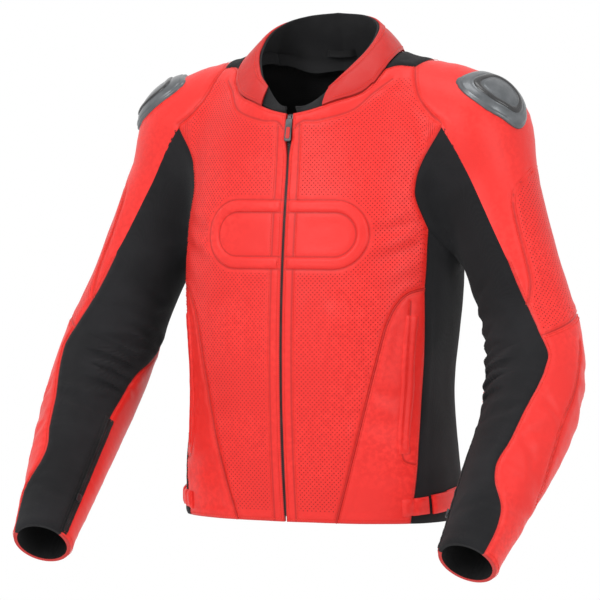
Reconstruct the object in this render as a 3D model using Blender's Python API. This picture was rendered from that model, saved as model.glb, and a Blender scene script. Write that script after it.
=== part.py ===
"""Leather riding jacket, modelled as a closed shell of sewn panels with moving sleeves and zips.

Axes: +X is the wearer's left, -Y the front, +Z up. The origin is where the hanger loop meets a hook.
Every panel is a closed sheet laid on one smooth body form. Neighbours share the points of the seam
between them, and each stays half a seam gap inside it.
"""

import math

import bmesh
import bpy
import numpy as np
from mathutils import Matrix, Vector
from mathutils.geometry import delaunay_2d_cdt

# ---------------------------------------------------------------- driving dimensions, in metres
HANG_POINT = np.array([0.0, 0.047, 0.010])  # where a hook holds the loop, in the form's own axes
LEATHER = 0.0024
SEAM_GAP = 0.0005
LAY_ON = 0.0004  # clearance under anything sewn on top of a panel
LINING_DEPTH = 0.0140
LINING = 0.0010

HEM_Z = -0.594
ZIP_HALF_GAP = 0.0042  # from the centre line to a front panel's edge
ZIP_TOP_Z = -0.074
FRONT_ARC_R = 1.40  # the front zip runs on this arc
FRONT_ARC_Y = -0.136
FRONT_ARC_Z = -0.385

# torso sections: height, half width, back surface y
TORSO = np.array(
    [
        (-0.660, 0.186, 0.118),
        (-0.580, 0.183, 0.118),
        (-0.530, 0.180, 0.117),
        (-0.490, 0.175, 0.120),
        (-0.425, 0.170, 0.122),
        (-0.373, 0.174, 0.126),
        (-0.334, 0.178, 0.129),
        (-0.290, 0.181, 0.132),
        (-0.240, 0.180, 0.134),
        (-0.180, 0.174, 0.130),
        (-0.120, 0.152, 0.112),
        (-0.080, 0.118, 0.085),
        (-0.045, 0.085, 0.055),
    ]
)
TORSO_SQUARENESS = 2.5
TORSO_TOP_Z = -0.040
ARMPIT_BLEND = 0.030

SHOULDER = np.array([0.196, 0.026, -0.098])
ELBOW = np.array([0.319, -0.021, -0.412])
WRIST = np.array([0.2945, -0.228, -0.6236])
NECK = np.array([0.0, 0.018, -0.070])
RIDGE = 0.0195  # how far the shoulder's top stands up between the neck and the sleeve
SLEEVE_RADII = ((0, 0.070), (0.16, 0.063), (0.36, 0.0590), (0.54, 0.0625), (0.70, 0.056))
CUFF_RADII = ((0.85, 0.047), (1.0, 0.0380), (1.1, 0.0375))

# stations along the arm's centre line, measured from the shoulder
ARM_TOP = 0.190
UPPER_START = 0.226
UPPER_END = 0.270
FOREARM_START = 0.390
ELBOW_AT = 0.336  # the elbow's pivot is the centre line's point here

# angles round the sleeve: 0 is its outer side, 90 its front, 180 the side next to the torso
STRETCH_FRONT = 76.0
STRETCH_BACK = 286.0
FOREARM_STRETCH = (84.0, 153.0)


# ---------------------------------------------------------------- materials
def material(name, colour, roughness, metallic=0.0):
    mat = bpy.data.materials.new(name)
    mat.use_nodes = True
    shader = mat.node_tree.nodes["Principled BSDF"]
    shader.inputs["Base Color"].default_value = (*colour, 1.0)
    shader.inputs["Roughness"].default_value = roughness
    shader.inputs["Metallic"].default_value = metallic
    mat.diffuse_color = (*colour, 1.0)
    return mat


def make_materials():
    return {
        "red": material("red_leather", (0.80, 0.045, 0.03), 0.45),
        "perforated": material("red_perforated_leather", (0.74, 0.04, 0.03), 0.5),
        "stretch": material("black_stretch", (0.014, 0.014, 0.015), 0.8),
        "lining": material("black_lining", (0.02, 0.02, 0.021), 0.9),
        "cup": material("grey_cup", (0.09, 0.095, 0.1), 0.35),
        "inlay": material("black_inlay", (0.01, 0.01, 0.011), 0.3),
        "metal": material("dark_zip_metal", (0.06, 0.06, 0.062), 0.35, 0.8),
        "tape": material("black_zip_tape", (0.012, 0.012, 0.012), 0.8),
        "foam": material("armour_foam", (0.05, 0.05, 0.055), 0.85),
    }


# ---------------------------------------------------------------- the body form
def table(x, xs, ys):
    """Smooth curve through a few values."""
    slopes = np.gradient(ys, xs)
    x = np.clip(x, xs[0], xs[-1])
    i = np.clip(np.searchsorted(xs, x) - 1, 0, len(xs) - 2)
    h = xs[i + 1] - xs[i]
    t = (x - xs[i]) / h
    a = (2 * t**3 - 3 * t**2 + 1) * ys[i] + (t**3 - 2 * t**2 + t) * h * slopes[i]
    return a + (3 * t**2 - 2 * t**3) * ys[i + 1] + (t**3 - t**2) * h * slopes[i + 1]


def smooth_min(a, b, k):
    h = np.maximum(k - np.abs(a - b), 0) / k
    return np.minimum(a, b) - h * h * k * 0.25


def front_y(z):
    """The front centre line's arc."""
    drop = np.sqrt(np.maximum(FRONT_ARC_R**2 - (z - FRONT_ARC_Z) ** 2, 0))
    return FRONT_ARC_Y + FRONT_ARC_R - drop


def torso_middle(z):
    """Centre and half depth of the torso's section at height z."""
    front = front_y(np.clip(z, -0.66, -0.04))
    back = table(z, TORSO[:, 0], TORSO[:, 2])
    return 0.5 * (front + back), 0.5 * (back - front)


def torso_column(p):
    x, y, z = p[..., 0], p[..., 1], p[..., 2]
    half_width = table(z, TORSO[:, 0], TORSO[:, 1])
    middle, half_depth = torso_middle(z)
    n = TORSO_SQUARENESS
    rho = (np.abs(x / half_width) ** n + np.abs((y - middle) / half_depth) ** n) ** (1 / n)
    reach = np.hypot(x, y - middle)
    side = reach * (1 - 1 / np.maximum(rho, 1e-6))
    side = np.where(rho < 1e-3, -np.minimum(half_width, half_depth), side)
    return -smooth_min(-side, -(z - TORSO_TOP_Z), 0.04)


def shoulder_bar(p):
    """The yoke from the neck to both shoulders, an elliptical bar."""
    x = np.abs(p[..., 0])
    t = np.clip(x / 0.20, 0, 1)
    cy = NECK[1] + (SHOULDER[1] - NECK[1]) * t
    cz = NECK[2] + (SHOULDER[2] - NECK[2]) * t - 0.004
    ry = 0.092 - 0.022 * t
    rise = np.clip((x - 0.035) / 0.055, 0, 1)
    fall = np.clip((0.235 - x) / 0.065, 0, 1)
    ridge = RIDGE * rise * rise * (3 - 2 * rise) * fall * fall * (3 - 2 * fall)
    cz = cz + 0.55 * ridge
    rz = 0.080 - 0.014 * t + 0.45 * ridge
    beyond = np.maximum(x - 0.20, 0) / 0.066
    rho = np.sqrt(((p[..., 1] - cy) / ry) ** 2 + ((p[..., 2] - cz) / rz) ** 2 + beyond**2)
    return (rho - 1) * np.minimum(ry, rz)


def arm_line():
    """Centre line of the pre-curved sleeve: two straight runs joined by a round elbow."""
    a = ELBOW + (SHOULDER - ELBOW) * 0.30
    b = ELBOW + (WRIST - ELBOW) * 0.36
    points = [SHOULDER + (a - SHOULDER) * i / 6 for i in range(6)]
    for i in range(9):
        t = i / 8
        points.append((1 - t) ** 2 * a + 2 * (1 - t) * t * ELBOW + t * t * b)
    points += [b + (WRIST - b) * i / 6 for i in range(1, 7)]
    points.append(WRIST + (WRIST - b) / np.linalg.norm(WRIST - b) * 0.03)
    return np.array(points)


ARM = arm_line()
ARM_STEPS = np.linalg.norm(np.diff(ARM, axis=0), axis=1)
ARM_AT = np.concatenate([[0], np.cumsum(ARM_STEPS)])
ARM_LENGTH = ARM_AT[-1] - 0.03
RADII = np.array(SLEEVE_RADII + CUFF_RADII)


def sleeve_radius(s):
    return table(s, RADII[:, 0] * ARM_LENGTH, RADII[:, 1])


def sleeves(p):
    q = p.copy()
    q[..., 0] = np.abs(q[..., 0])
    best = np.full(q.shape[:-1], 1e9)
    for a, b, start, length in zip(ARM[:-1], ARM[1:], ARM_AT[:-1], ARM_STEPS):
        d = b - a
        t = np.clip(((q - a) @ d) / (d @ d), 0, 1)
        away = np.linalg.norm(q - (a + t[..., None] * d), axis=-1)
        best = np.minimum(best, away - sleeve_radius(start + t * length))
    return best


def torso_form(p):
    return smooth_min(torso_column(p), shoulder_bar(p), 0.07)


def body_form(p):
    """Signed distance, nearly: negative inside the jacket's outer surface."""
    return smooth_min(torso_form(p), sleeves(p), ARMPIT_BLEND)


def gradient(p, form=body_form):
    out = np.empty_like(p)
    for axis in range(3):
        d = np.zeros(3)
        d[axis] = 1e-4
        out[..., axis] = (form(p + d) - form(p - d)) / 2e-4
    return out


def normals(p, form=body_form):
    g = gradient(p, form)
    return g / np.linalg.norm(g, axis=-1, keepdims=True)


def settle(p, form=body_form):
    """Nearest points on the form's surface."""
    p = np.array(p, float)
    for _ in range(8):
        g = gradient(p, form)
        p = p - (form(p) / np.maximum((g * g).sum(-1), 1e-6))[..., None] * g
    return p


def march(origins, directions, inside=False, form=body_form):
    """Where rays meet the surface, from outside it or from inside it."""
    sign = -1.0 if inside else 1.0
    t = np.zeros(origins.shape[:-1])
    for _ in range(160):
        value = form(origins + directions * t[..., None])
        t = t + np.clip(sign * value * 0.7, -0.02, 0.03)
    return origins + directions * t[..., None]


def rays(uv, view):
    """Rays of a straight view of the jacket: front, back, side or top."""
    uv = np.atleast_2d(np.array(uv, float))
    start = np.zeros((len(uv), 3))
    if view in ("front", "back"):
        start[:, 0], start[:, 2] = uv[:, 0], uv[:, 1]
        start[:, 1] = -0.4 if view == "front" else 0.4
        direction = (0, 1 if view == "front" else -1, 0)
    elif view == "side":
        start[:, 1], start[:, 2] = uv[:, 0], uv[:, 1]
        start[:, 0] = 0.45
        direction = (-1, 0, 0)
    else:
        start[:, 0], start[:, 1] = uv[:, 0], uv[:, 1]
        start[:, 2] = 0.3
        direction = (0, 0, -1)
    return start, np.tile(np.array(direction, float), (len(uv), 1))


def flat(points, view):
    columns = {"front": (0, 2), "back": (0, 2), "side": (1, 2), "top": (0, 1)}[view]
    return points[:, columns]


def seen(uv, view, form=body_form):
    return march(*rays(uv, view), form=form)


def around(degrees, z, form=torso_form):
    """Torso surface at an angle from the front, towards the wearer's left, and a height."""
    degrees, z = np.broadcast_arrays(np.array(degrees, float), np.array(z, float))
    a = np.radians(degrees)
    middle, _ = torso_middle(z)
    start = np.stack([np.zeros_like(z), middle, z], -1)
    out = np.stack([np.sin(a), -np.cos(a), np.zeros_like(a)], -1)
    return march(start, out, inside=True, form=form)


def arm_frame(s):
    """Centre, outward and forward directions of the sleeve at a station."""
    s = np.array(s, float)
    centre = np.stack([np.interp(s, ARM_AT, ARM[:, k]) for k in range(3)], -1)
    ahead = np.stack([np.interp(s + 0.02, ARM_AT, ARM[:, k]) for k in range(3)], -1)
    behind = np.stack([np.interp(s - 0.02, ARM_AT, ARM[:, k]) for k in range(3)], -1)
    along = ahead - behind
    along /= np.linalg.norm(along, axis=-1, keepdims=True)
    outward = np.array([1.0, 0, 0]) - along[..., :1] * along
    outward /= np.linalg.norm(outward, axis=-1, keepdims=True)
    return centre, outward, np.cross(along, outward)


def on_sleeve(s, degrees):
    """Sleeve surface at a station and an angle, on the wearer's left."""
    s, degrees = np.broadcast_arrays(np.array(s, float), np.array(degrees, float))
    centre, outward, forward = arm_frame(s)
    a = np.radians(degrees)[..., None]
    return march(centre, np.cos(a) * outward + np.sin(a) * forward, inside=True)


# ---------------------------------------------------------------- seams
def spline(points, step):
    """Evenly spaced points on a smooth curve through the given ones, ends included."""
    p = np.array(points, float)
    if len(p) > 2:
        padded = np.vstack([2 * p[0] - p[1], p, 2 * p[-1] - p[-2]])
        fine = []
        for a, b, c, d in zip(padded, padded[1:], padded[2:], padded[3:]):
            for t in np.linspace(0, 1, 12, endpoint=False):
                line = (c - a) * t + (2 * a - 5 * b + 4 * c - d) * t**2
                fine.append(0.5 * (2 * b + line + (3 * b - a - 3 * c + d) * t**3))
        p = np.array(fine + [p[-1]])
    run = np.concatenate([[0], np.cumsum(np.linalg.norm(np.diff(p, axis=0), axis=1))])
    count = max(1, round(run[-1] / step))
    at = np.linspace(0, run[-1], count + 1)
    return np.stack([np.interp(at, run, p[:, k]) for k in range(3)], -1)


def seam(*points, step=0.030):
    return settle(spline(points, step))


def chain(*curves):
    """One run of points from curves that follow each other."""
    out = [curves[0]]
    out += [c[1:] for c in curves[1:]]
    return np.vstack(out)


def mirrored(points):
    return points * np.array([-1.0, 1.0, 1.0])


# corners where seams meet, on the wearer's left
HEM_FRONT = (ZIP_HALF_GAP, front_y(HEM_Z), HEM_Z)
HEM_PRINCESS = (0.069, -0.117, HEM_Z)
HEM_SIDE = (0.156, -0.079, HEM_Z)
HEM_REAR = (0.140, 0.100, HEM_Z)
PRINCESS_TOP = (0.174, -0.067, -0.296)
ARMHOLE_FRONT = (0.176, -0.058, -0.221)
ARMPIT = (0.184, 0.015, -0.262)
ARMHOLE_REAR = (0.172, 0.090, -0.225)
APEX_FRONT = (0.189, -0.059, -0.087)
APEX_REAR = (0.186, 0.088, -0.092)
YOKE_FRONT = (0.131, -0.010, -0.026)
YOKE_REAR = (0.133, 0.048, -0.030)
NECK_FRONT = (0.097, -0.030, -0.030)
NECK_REAR = (0.090, 0.040, -0.008)
NECK_START = (ZIP_HALF_GAP, front_y(ZIP_TOP_Z), ZIP_TOP_Z)
NECK_MIDDLE = (0.0, 0.069, 0.002)
WAIST_HIGH = (0.152, 0.095, -0.400)
WAIST_LOW = (0.150, 0.098, -0.490)


def make_seams():
    s = {}
    zip_z = np.linspace(HEM_Z, ZIP_TOP_Z, 15)
    s["zip"] = seen(np.stack([np.full(15, ZIP_HALF_GAP), zip_z], -1), "front")
    s["hem_front"] = seam(s["zip"][0], (0.035, -0.121, HEM_Z), HEM_PRINCESS)
    s["hem_lower"] = seam(HEM_PRINCESS, (0.123, -0.101, HEM_Z), HEM_SIDE)
    s["hem_side"] = seam(HEM_SIDE, (0.181, -0.020, HEM_Z), (0.175, 0.055, HEM_Z), HEM_REAR)
    s["hem_back"] = seam(HEM_REAR, (0.075, 0.116, HEM_Z), (0.0, 0.118, HEM_Z))
    s["princess"] = seam(
        HEM_PRINCESS, (0.093, -0.12, -0.511), (0.122, -0.111, -0.389),
        (0.137, -0.105, -0.335), (0.154, -0.091, -0.305), PRINCESS_TOP,
    )
    s["side_low"] = seam(HEM_SIDE, (0.163, -0.07, -0.504), (0.165, -0.058, -0.407), PRINCESS_TOP)
    s["side_high"] = seam(PRINCESS_TOP, (0.176, -0.063, -0.260), ARMHOLE_FRONT)
    s["armhole_front"] = seam(
        ARMHOLE_FRONT, (0.160, -0.068, -0.185), (0.160, -0.068, -0.160),
        (0.172, -0.065, -0.121), APEX_FRONT,
    )
    s["armpit_front"] = seam(ARMHOLE_FRONT, (0.183, -0.025, -0.247), ARMPIT)
    s["armpit_rear"] = seam(ARMPIT, (0.182, 0.055, -0.250), ARMHOLE_REAR)
    s["armhole_rear"] = seam(
        ARMHOLE_REAR, (0.158, 0.108, -0.188), (0.160, 0.106, -0.150), (0.172, 0.098, -0.12), APEX_REAR
    )
    s["raglan_front"] = seam(APEX_FRONT, (0.172, -0.057, -0.074), (0.152, -0.046, -0.052), YOKE_FRONT)
    s["raglan_rear"] = seam(APEX_REAR, (0.172, 0.078, -0.072), (0.152, 0.066, -0.049), YOKE_REAR)
    s["yoke_outer"] = seam(YOKE_FRONT, (0.138, 0.018, -0.022), YOKE_REAR)
    s["yoke_front"] = seam(YOKE_FRONT, (0.110, -0.018, -0.026), NECK_FRONT)
    s["yoke_rear"] = seam(YOKE_REAR, NECK_REAR)
    s["neck_front"] = seam(
        s["zip"][-1], (0.045, -0.083, -0.070), (0.080, -0.064, -0.056), NECK_FRONT, step=0.022
    )
    s["neck_side"] = seam(NECK_FRONT, (0.099, 0.0, -0.016), NECK_REAR, step=0.022)
    s["neck_back"] = seam(NECK_REAR, (0.055, 0.061, 0.0), NECK_MIDDLE, step=0.022)
    s["back_low"] = seam(HEM_REAR, WAIST_LOW)
    s["back_mid"] = seam(WAIST_LOW, WAIST_HIGH)
    s["back_high"] = seam(WAIST_HIGH, (0.165, 0.095, -0.310), (0.172, 0.093, -0.260), ARMHOLE_REAR)
    s["waist_low"] = seam(WAIST_LOW, (0.075, 0.114, -0.494), (0.0, 0.115, -0.496))
    s["waist_high"] = seam(WAIST_HIGH, (0.075, 0.112, -0.390), (0.0, 0.112, -0.384))
    return s


# ---------------------------------------------------------------- closed sheets
def add_object(name, mesh, mat, parent):
    """An object whose mesh is in the form's axes, under an empty that may stand on a joint."""
    mesh.materials.append(mat)
    obj = bpy.data.objects.new(name, mesh)
    bpy.context.scene.collection.objects.link(obj)
    obj.parent = parent
    if parent.parent:
        obj.location = -parent.location
    return obj


def inset_border(points, up, faces, amount):
    """Points with the open border drawn in by an amount, along the sheet."""
    edges = {}
    for face in faces:
        for a, b in zip(face, face[1:] + face[:1]):
            edges[(a, b)] = True
    border = [(a, b) for a, b in edges if (b, a) not in edges]
    leaving = {a: b for a, b in border}
    arriving = {b: a for a, b in border}
    moved = points.copy()
    for v, after in leaving.items():
        before = arriving[v]
        inward = []
        for a, b in ((before, v), (v, after)):
            side = np.cross(up[v], points[b] - points[a])
            inward.append(side / max(np.linalg.norm(side), 1e-9))
        both = inward[0] + inward[1]
        moved[v] += both / max(1 + inward[0] @ inward[1], 0.5) * amount
    return moved, border


def closed_sheet(name, points, faces, outer, inner, mat, parent, up=None, gap=SEAM_GAP):
    """A sheet between two offsets of a surface, closed by walls round its border."""
    up = normals(points) if up is None else up
    moved, border = inset_border(points, up, faces, gap / 2)
    outer = np.broadcast_to(np.asarray(outer, float), (len(points),))[:, None]
    inner = np.broadcast_to(np.asarray(inner, float), (len(points),))[:, None]
    bm = bmesh.new()
    top = [bm.verts.new(Vector(c)) for c in moved + up * outer]
    under = [bm.verts.new(Vector(c)) for c in moved + up * inner]
    for face in faces:
        bm.faces.new([top[i] for i in face])
        bm.faces.new([under[i] for i in reversed(face)])
    for a, b in border:
        bm.faces.new([top[b], top[a], under[a], under[b]])
    bmesh.ops.triangulate(bm, faces=bm.faces[:])
    mesh = bpy.data.meshes.new(name)
    bm.to_mesh(mesh)
    bm.free()
    mesh.shade_smooth()
    mesh.set_sharp_from_angle(angle=math.radians(40))
    return add_object(name, mesh, mat, parent)


def grid_faces(rows, columns, closed=False):
    """Faces of a grid of rows by columns, wound for normals on columns x rows."""
    last = columns if closed else columns - 1
    faces = []
    for r in range(rows - 1):
        for c in range(last):
            d = (c + 1) % columns
            faces.append([r * columns + c, r * columns + d, (r + 1) * columns + d, (r + 1) * columns + c])
    return faces


def turned_out(points, faces, up):
    """Faces wound so that they face the surface's own way."""
    total = 0.0
    for face in faces:
        a, b, c = (points[i] for i in face[:3])
        total += np.cross(b - a, c - a) @ up[face[0]]
    if total < 0:
        return [list(reversed(face)) for face in faces]
    return faces


def grid_sheet(name, grid, outer, inner, mat, parent, closed=False, form=body_form, gap=SEAM_GAP):
    rows, columns = grid.shape[:2]
    points = grid.reshape(-1, 3)
    up = normals(points, form)
    faces = turned_out(points, grid_faces(rows, columns, closed), up)
    return closed_sheet(name, points, faces, outer, inner, mat, parent, up, gap)


def inside_outline(p, outline):
    """Whether a flat point lies inside a flat closed outline."""
    x, y = p
    nxt = np.roll(outline, -1, axis=0)
    crosses = (outline[:, 1] > y) != (nxt[:, 1] > y)
    a, b = outline[crosses], nxt[crosses]
    at = a[:, 0] + (y - a[:, 1]) / (b[:, 1] - a[:, 1]) * (b[:, 0] - a[:, 0])
    return bool(np.count_nonzero(at > x) % 2)


def outline_panel(name, outline, view, mat, parent, spacing=0.038, mirror=False, form=body_form):
    """A panel filled inside a closed seam outline, as seen in one straight view."""
    edge = flat(outline, view)
    low, high = edge.min(axis=0), edge.max(axis=0)
    nxt = np.roll(edge, -1, axis=0)
    filling = []
    for i, v in enumerate(np.arange(low[1] + spacing / 2, high[1], spacing * 0.87)):
        for u in np.arange(low[0] + spacing * (0.25 + 0.5 * (i % 2)), high[0], spacing):
            along = nxt - edge
            t = np.clip((([u, v] - edge) * along).sum(1) / (along * along).sum(1), 0, 1)
            near = np.linalg.norm(edge + along * t[:, None] - [u, v], axis=1).min()
            if near > spacing * 0.55 and inside_outline((u, v), edge):
                filling.append((u, v))
    n = len(edge)
    ring = [(i, (i + 1) % n) for i in range(n)]
    flat_points = [Vector(c) for c in edge] + [Vector(c) for c in filling]
    faces = delaunay_2d_cdt(flat_points, ring, [], 1, 1e-7)[2]
    points = outline
    if filling:
        points = np.vstack([outline, settle(seen(filling, view, form))])
    if mirror:
        points = mirrored(points)
    up = normals(points)
    faces = turned_out(points, [list(f) for f in faces], up)
    return closed_sheet(name, points, faces, 0.0, -LEATHER, mat, parent, up)


# ---------------------------------------------------------------- torso
def both_sides(outline_half):
    """A closed outline from its left half, which starts and ends on the centre plane."""
    other = mirrored(outline_half)[::-1][1:-1]
    return np.vstack([outline_half, other])


def make_torso(s, mats, parent):
    front = chain(
        s["hem_front"], s["princess"], s["side_high"], s["armhole_front"],
        s["raglan_front"], s["yoke_front"], s["neck_front"][::-1], s["zip"][::-1],
    )[:-1]
    lower = chain(s["hem_lower"], s["side_low"], s["princess"][::-1])[:-1]
    side = chain(
        s["hem_side"], s["back_low"], s["back_mid"], s["back_high"], s["armpit_rear"][::-1],
        s["armpit_front"][::-1], s["side_high"][::-1], s["side_low"][::-1],
    )[:-1]
    yoke = chain(s["yoke_outer"], s["yoke_rear"], s["neck_side"][::-1], s["yoke_front"][::-1])[:-1]
    for label, mirror in (("left", False), ("right", True)):
        outline_panel("front_panel_" + label, front, "front", mats["perforated"], parent, mirror=mirror)
        outline_panel("lower_front_" + label, lower, "front", mats["red"], parent, mirror=mirror)
        outline_panel(
            "side_stretch_" + label, side, "side", mats["stretch"], parent, mirror=mirror, form=torso_form
        )
        outline_panel("yoke_stretch_" + label, yoke, "top", mats["stretch"], parent, mirror=mirror)
    back = chain(
        s["waist_high"][::-1], s["back_high"], s["armhole_rear"], s["raglan_rear"],
        s["yoke_rear"], s["neck_back"],
    )
    outline_panel("back_panel", both_sides(back), "back", mats["perforated"], parent)
    lumbar = chain(s["waist_low"][::-1], s["back_mid"], s["waist_high"])
    outline_panel("lumbar_stretch", both_sides(lumbar), "back", mats["stretch"], parent)
    hem = chain(s["hem_back"][::-1], s["back_low"], s["waist_low"])
    outline_panel("back_hem_panel", both_sides(hem), "back", mats["red"], parent)


# ---------------------------------------------------------------- sleeves
HEAD_ROWS = 5
ARMPIT_RELAX = 5


def sleeve_head(s):
    """Rows from the armhole to the first full ring of the sleeve, and their corner columns."""
    parts = (
        (s["armhole_front"][::-1], STRETCH_FRONT, 124), (s["armpit_front"], 124, 180),
        (s["armpit_rear"], 180, 236), (s["armhole_rear"], 236, STRETCH_BACK),
        (s["raglan_rear"], STRETCH_BACK, 330), (s["yoke_outer"][::-1], 330, 392),
        (s["raglan_front"][::-1], 392, STRETCH_FRONT + 360),
    )
    start = chain(*[curve for curve, _, _ in parts])[:-1]
    angles = []
    for curve, low, high in parts:
        angles += list(np.linspace(low, high, len(curve))[:-1])
    angles = np.array(angles)
    rear = len(s["armhole_front"]) + len(s["armpit_front"]) + len(s["armpit_rear"])
    rear += len(s["armhole_rear"]) - 4
    ring = on_sleeve(ARM_TOP, angles)
    first = np.array([0.165, 0.015, -0.130])
    bend = np.array([0.235, 0.018, -0.140])
    last = arm_frame(ARM_TOP)[0]
    go = (start - first) / np.linalg.norm(start - first, axis=1, keepdims=True)
    end = (ring - last) / np.linalg.norm(ring - last, axis=1, keepdims=True)
    rows = [start]
    for t in np.linspace(0, 1, HEAD_ROWS)[1:-1]:
        centre = (1 - t) ** 2 * first + 2 * (1 - t) * t * bend + t * t * last
        way = go * (1 - t) + end * t
        way /= np.linalg.norm(way, axis=1, keepdims=True)
        row = march(np.tile(centre, (len(way), 1)), way, inside=True)
        row[: rear + 1] = settle(start[: rear + 1] * (1 - t) + ring[: rear + 1] * t)
        rows.append(row)
    rows.append(ring)
    rows = np.array(rows)
    for _ in range(ARMPIT_RELAX):
        beside = rows[1:-1, : rear - 1] + rows[1:-1, 2 : rear + 1]
        before_after = rows[:-2, 1:rear] + rows[2:, 1:rear]
        middle = (beside + before_after) / 4
        rows[1:-1, 1:rear] = settle(middle.reshape(-1, 3)).reshape(middle.shape)
    return rows, rear, angles


def sleeve_band(low, high, rows, angles):
    s = np.linspace(low, high, rows)[:, None]
    return on_sleeve(s, np.array(angles, float)[None, :])


def make_sleeve(s, mats, parents, label, flip):
    head, rear, angles = sleeve_head(s)
    place = flip
    root, upper, forearm = parents

    def lay(name, grid, mat, parent, closed=False):
        grid_sheet(name + "_" + label, place(grid), 0.0, -LEATHER, mat, parent, closed=closed)

    black = angles[: rear + 1]
    red = np.append(angles[rear:], angles[0] + 360)
    lay("underarm_stretch", head[:, : rear + 1], mats["stretch"], root)
    lay("shoulder_panel", np.concatenate([head[:, rear:], head[:, :1]], axis=1), mats["red"], root)
    full = angles
    lay("shoulder_flex", sleeve_band(ARM_TOP, UPPER_START, 3, full), mats["stretch"], upper, True)
    lay("upper_sleeve_stretch", sleeve_band(UPPER_START, UPPER_END, 3, black), mats["stretch"], upper)
    lay("upper_sleeve_outer", sleeve_band(UPPER_START, UPPER_END, 3, red), mats["red"], upper)
    round_cut = np.arange(0, 360, 20)
    lay("elbow_flex", sleeve_band(UPPER_END, FOREARM_START, 6, round_cut), mats["perforated"], upper, True)
    inner = np.linspace(*FOREARM_STRETCH, 5)
    outer = np.linspace(FOREARM_STRETCH[1], FOREARM_STRETCH[0] + 360, 16)
    lay("forearm_stretch", sleeve_band(FOREARM_START, ARM_LENGTH, 8, inner), mats["stretch"], forearm)
    lay("forearm_outer", sleeve_band(FOREARM_START, ARM_LENGTH, 8, outer), mats["red"], forearm)
    armour_angles = np.linspace(-75, 45, 7)
    armour = place(sleeve_band(FOREARM_START + 0.010, FOREARM_START + 0.110, 6, armour_angles))
    grid_sheet("elbow_armour_" + label, armour, -0.0044, -0.0104, mats["foam"], forearm)


# ---------------------------------------------------------------- shoulder cup
CUP_CENTRE = (0.242, 0.0, -0.052)
CUP_LONG = 0.056
CUP_SHORT = 0.043


def cup_frame():
    centre = settle(np.array([CUP_CENTRE]))[0]
    up = normals(centre[None])[0]
    across = np.cross(up, (0.0, -1.0, 0.0))
    across /= np.linalg.norm(across)
    return centre, across, np.cross(up, across)


def cup_points(radius, degrees):
    """Points of the cup's footprint: a rounded outline, pointed a little towards the neck."""
    centre, across, forward = cup_frame()
    a = np.radians(degrees)
    long = CUP_LONG * (1 + 0.10 * np.cos(a))
    raw = centre + radius[..., None] * (
        (long * np.cos(a))[..., None] * across + (CUP_SHORT * np.sin(a))[..., None] * forward
    )
    return settle(raw)


def cup_height(radius):
    return 0.0022 + 0.0042 * (1 - np.clip(radius, 0, 1) ** 4)


def make_cup(mats, parent, label, flip):
    degrees = np.arange(0, 360, 20)
    radii = np.array([0.14, 0.36, 0.60, 0.82, 1.0])
    grid = cup_points(radii[:, None] + 0 * degrees[None, :], degrees[None, :] + 0 * radii[:, None])
    points = np.vstack([grid.reshape(-1, 3), cup_points(np.zeros(1), np.zeros(1))])
    faces = grid_faces(len(radii), len(degrees), closed=True)
    n = len(degrees)
    faces += [[len(points) - 1, (i + 1) % n, i] for i in range(n)]
    points = flip(points)
    up = normals(points)
    height = np.append(np.repeat(cup_height(radii), n), cup_height(0.0))
    faces = turned_out(points, faces, up)
    closed_sheet("shoulder_cup_" + label, points, faces, height, LAY_ON, mats["cup"], parent, up)
    band = np.array([0.42, 0.60])
    ring = cup_points(band[:, None] + 0 * degrees[None, :], degrees[None, :] + 0 * band[:, None])
    ring = flip(ring).reshape(-1, 3)
    up = normals(ring)
    over = np.repeat(cup_height(band), n) + LAY_ON
    faces = turned_out(ring, grid_faces(2, n, closed=True), up)
    closed_sheet("cup_inlay_" + label, ring, faces, over + 0.0008, over, mats["inlay"], parent, up)


# ---------------------------------------------------------------- collar
COLLAR_RIM = (
    (0.040, -0.084, -0.054), (0.064, -0.066, -0.032), (0.077, -0.036, -0.002), (0.079, -0.004, 0.026),
    (0.068, 0.022, 0.043), (0.042, 0.038, 0.053), (0.0, 0.044, 0.057),
)
COLLAR_THICK = 0.0030


def collar_grid(s, rows=4):
    """Collar surface from its seam on the body to its rim, front end to front end."""
    base = chain(s["neck_front"][1:], s["neck_side"], s["neck_back"])
    base = base + normals(base) * 0.0006 + np.array([0, 0, 0.0040])
    rim = spline(COLLAR_RIM, 0.001)
    run = np.linspace(0, 1, len(base))
    at = np.linspace(0, 1, len(rim))
    rim = np.stack([np.interp(run, at, rim[:, k]) for k in range(3)], -1)
    base = np.vstack([base, mirrored(base)[::-1][1:]])
    rim = np.vstack([rim, mirrored(rim)[::-1][1:]])
    return np.array([base + (rim - base) * t for t in np.linspace(0, 1, rows)])


def collar_normals(grid):
    along = np.gradient(grid, axis=1)
    rise = np.gradient(grid, axis=0)
    up = np.cross(along, rise)
    up /= np.linalg.norm(up, axis=-1, keepdims=True)
    centre = np.array([0.0, -0.01, 0.0])
    outward = grid - centre
    outward[..., 2] = 0
    return up * np.sign((up * outward).sum(-1, keepdims=True))


def make_collar(s, mats, parent):
    grid = collar_grid(s)
    rows, columns = grid.shape[:2]
    points = grid.reshape(-1, 3)
    up = collar_normals(grid).reshape(-1, 3)
    faces = turned_out(points, grid_faces(rows, columns), up)
    outer, inner = (COLLAR_THICK / 2, -COLLAR_THICK / 2)
    closed_sheet("collar_outer", points, faces, outer, inner, mats["red"], parent, up)
    depth = inner - LAY_ON
    closed_sheet("collar_lining", points, faces, depth, depth - 0.0022, mats["lining"], parent, up)


# ---------------------------------------------------------------- things sewn on the torso
def strip(path, width):
    """A flat band either side of a flat path, as a two-column grid of flat points."""
    path = np.array(path, float)
    way = np.gradient(path, axis=0)
    way /= np.linalg.norm(way, axis=1, keepdims=True)
    side = np.stack([-way[:, 1], way[:, 0]], -1)
    return np.stack([path - side * width / 2, path + side * width / 2], 1)


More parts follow.
